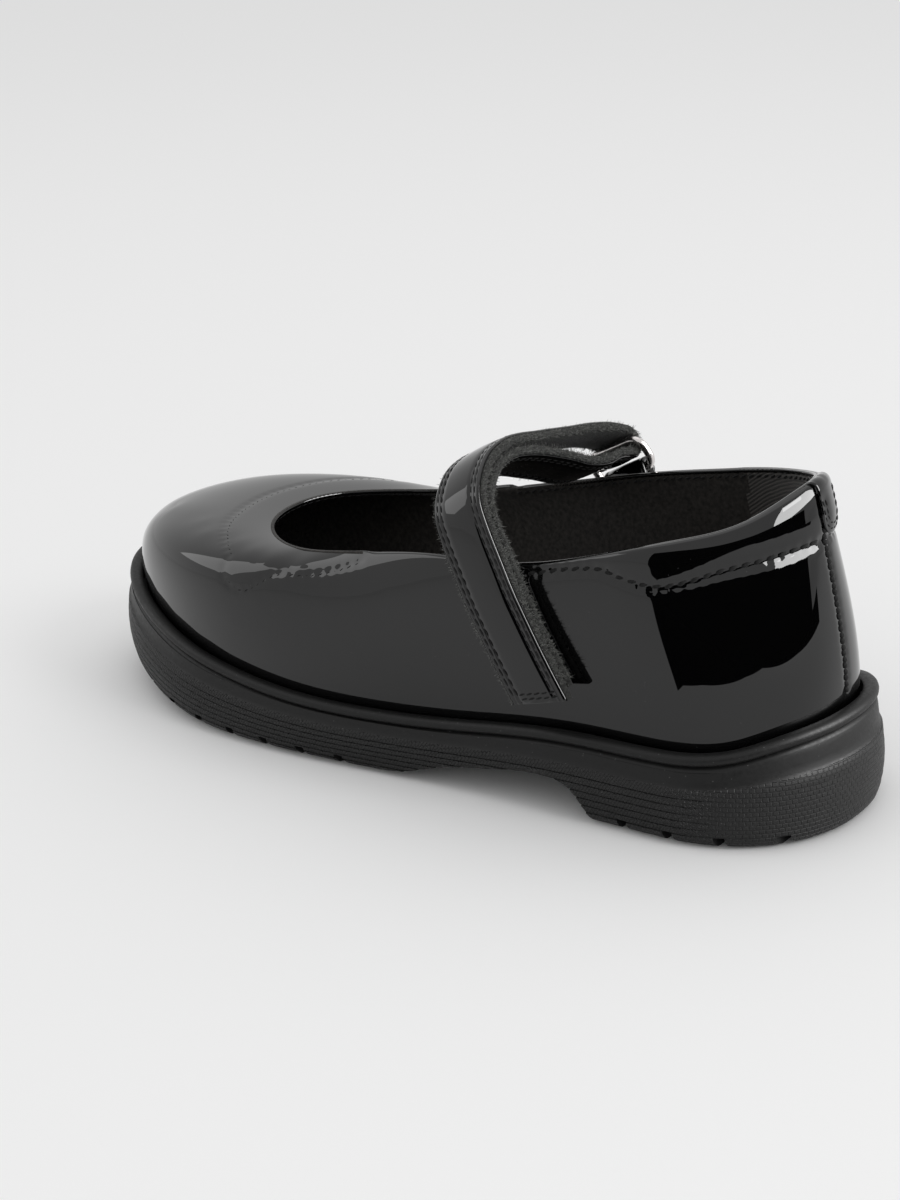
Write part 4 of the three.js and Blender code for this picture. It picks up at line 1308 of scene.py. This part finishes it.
# %% [markdown]
# A pale table, a bright sky of soft light, and dark cards at the height of the horizon. Patent
# leather is a mirror, so most of its tone is what stands round it.

# %% Floor and lights
def make_floor():
    bm = bmesh.new()
    bmesh.ops.create_grid(bm, x_segments=1, y_segments=1, size=30.0)
    material, tree, shader = new_material("pale table", Roughness=0.9, Specular_IOR_Level=0.0)
    shader.inputs["Base Color"].default_value = (0.9, 0.9, 0.9, 1)
    floor = new_object("table", bm, material)
    return floor


make_floor()


def area_light(name, where, target, size, power):
    data = bpy.data.lights.new(name, "AREA")
    data.shape = "RECTANGLE"
    data.size, data.size_y = size
    data.energy = power
    light = bpy.data.objects.new(name, data)
    COLLECTION.objects.link(light)
    light.location = where
    light.rotation_euler = (Vector(target) - Vector(where)).to_track_quat("-Z", "Y").to_euler()
    return light


def reflected_only(obj):
    """A card that only the gloss of the shoe sees, so that it shades nothing."""
    obj.visible_camera = False
    obj.visible_diffuse = False
    obj.visible_shadow = False
    obj.visible_transmission = False
    obj.visible_volume_scatter = False


HEEL_SIDE = Vector((-0.085, 0.025, 0.045))  # the middle of the quarter that mirrors the cards


def standing_card(name, turns, distance, low, high, material):
    """A curved card round the heel: its turns and heights are in degrees seen from there."""
    bm = bmesh.new()
    steps = 12
    rows = []
    for rise in (low, high):
        row = []
        for i in range(steps + 1):
            share = i / steps
            turn = math.radians(turns[0] + (turns[1] - turns[0]) * share)
            angle = math.radians(rise[0] + (rise[1] - rise[0]) * share)
            flat = Vector((math.cos(turn), math.sin(turn), math.tan(angle))) * distance
            row.append(bm.verts.new(HEEL_SIDE + flat))
        rows.append([bm.edges.new(pair) for pair in zip(row, row[1:])])
    bmesh.ops.bridge_loops(bm, edges=rows[0] + rows[1])
    card = new_object(name, bm, material)
    reflected_only(card)


def dark_cloth(name, points, material):
    """A sheet lying by the camera: its outline is in turns and distances from the heel."""
    bm = bmesh.new()
    verts = []
    for turn, distance in points:
        angle = math.radians(turn)
        spot = Vector((math.cos(angle), math.sin(angle), 0)) * distance
        verts.append(bm.verts.new((HEEL_SIDE.x + spot.x, HEEL_SIDE.y + spot.y, 0.001)))
    bm.faces.new(verts)
    reflected_only(new_object(name, bm, material))


def glow(name, strength):
    material, tree, shader = new_material(name, Roughness=1.0, Specular_IOR_Level=0.0)
    shader.inputs["Base Color"].default_value = (0.001, 0.001, 0.001, 1)
    shader.inputs["Emission Color"].default_value = (1, 1, 1, 1)
    shader.inputs["Emission Strength"].default_value = strength
    return material


BLACK, WHITE, SOFT_WHITE = glow("black card", 0.0), glow("white card", 12.0), glow("soft card", 2.2)
standing_card("dark_wall", (87, 198), 1.0, (-2.6, -2.6), (23, 5), BLACK)
dark_cloth("dark_cloth", [(87, 0.10), (93, 0.12), (108, 0.16), (125, 0.24), (138, 0.42),
                          (150, 0.85), (178, 0.75), (206, 0.6), (206, 1.55), (180, 1.5),
                          (150, 1.4), (120, 1.3), (95, 1.3), (87, 1.3)], BLACK)
standing_card("back_card", (165, 222), 1.6, (7, 7), (54, 54), WHITE)
standing_card("toe_card", (4, 38), 1.6, (14, 14), (44, 44), SOFT_WHITE)
area_light("key softbox", (-1.12, 0.0, 0.84), (0, 0, 0.03), (0.5, 0.5), 3.5)
area_light("top softbox", (0.3, -0.3, 1.5), (0, 0, 0), (1.2, 1.0), 1.5)

world = bpy.data.worlds.new("studio")
bpy.context.scene.world = world
world.use_nodes = True
world.node_tree.nodes["Background"].inputs["Color"].default_value = (1, 1, 1, 1)
world.node_tree.nodes["Background"].inputs["Strength"].default_value = 0.8

# %% Camera
CAMERA = (-302.4, 405.4, 226.8)  # where the shoe is seen from, in millimetres
AIM = (4, 0, 33)
ROLL, LENS = -3.13, 62.4  # degrees, and millimetres over a sensor 36 mm tall
camera_data = bpy.data.cameras.new("camera")
camera_data.sensor_fit = "VERTICAL"
camera_data.sensor_height = 36
camera_data.lens = LENS
camera_data.clip_start = 0.01
camera = bpy.data.objects.new("camera", camera_data)
COLLECTION.objects.link(camera)
eye, aim = Vector(CAMERA) * MM, Vector(AIM) * MM
camera.location = eye
look = (aim - eye).to_track_quat("-Z", "Y").to_matrix().to_4x4()
camera.rotation_euler = (look @ Matrix.Rotation(math.radians(ROLL), 4, "Z")).to_euler()
bpy.context.scene.camera = camera
bpy.context.scene.view_settings.view_transform = "Standard"
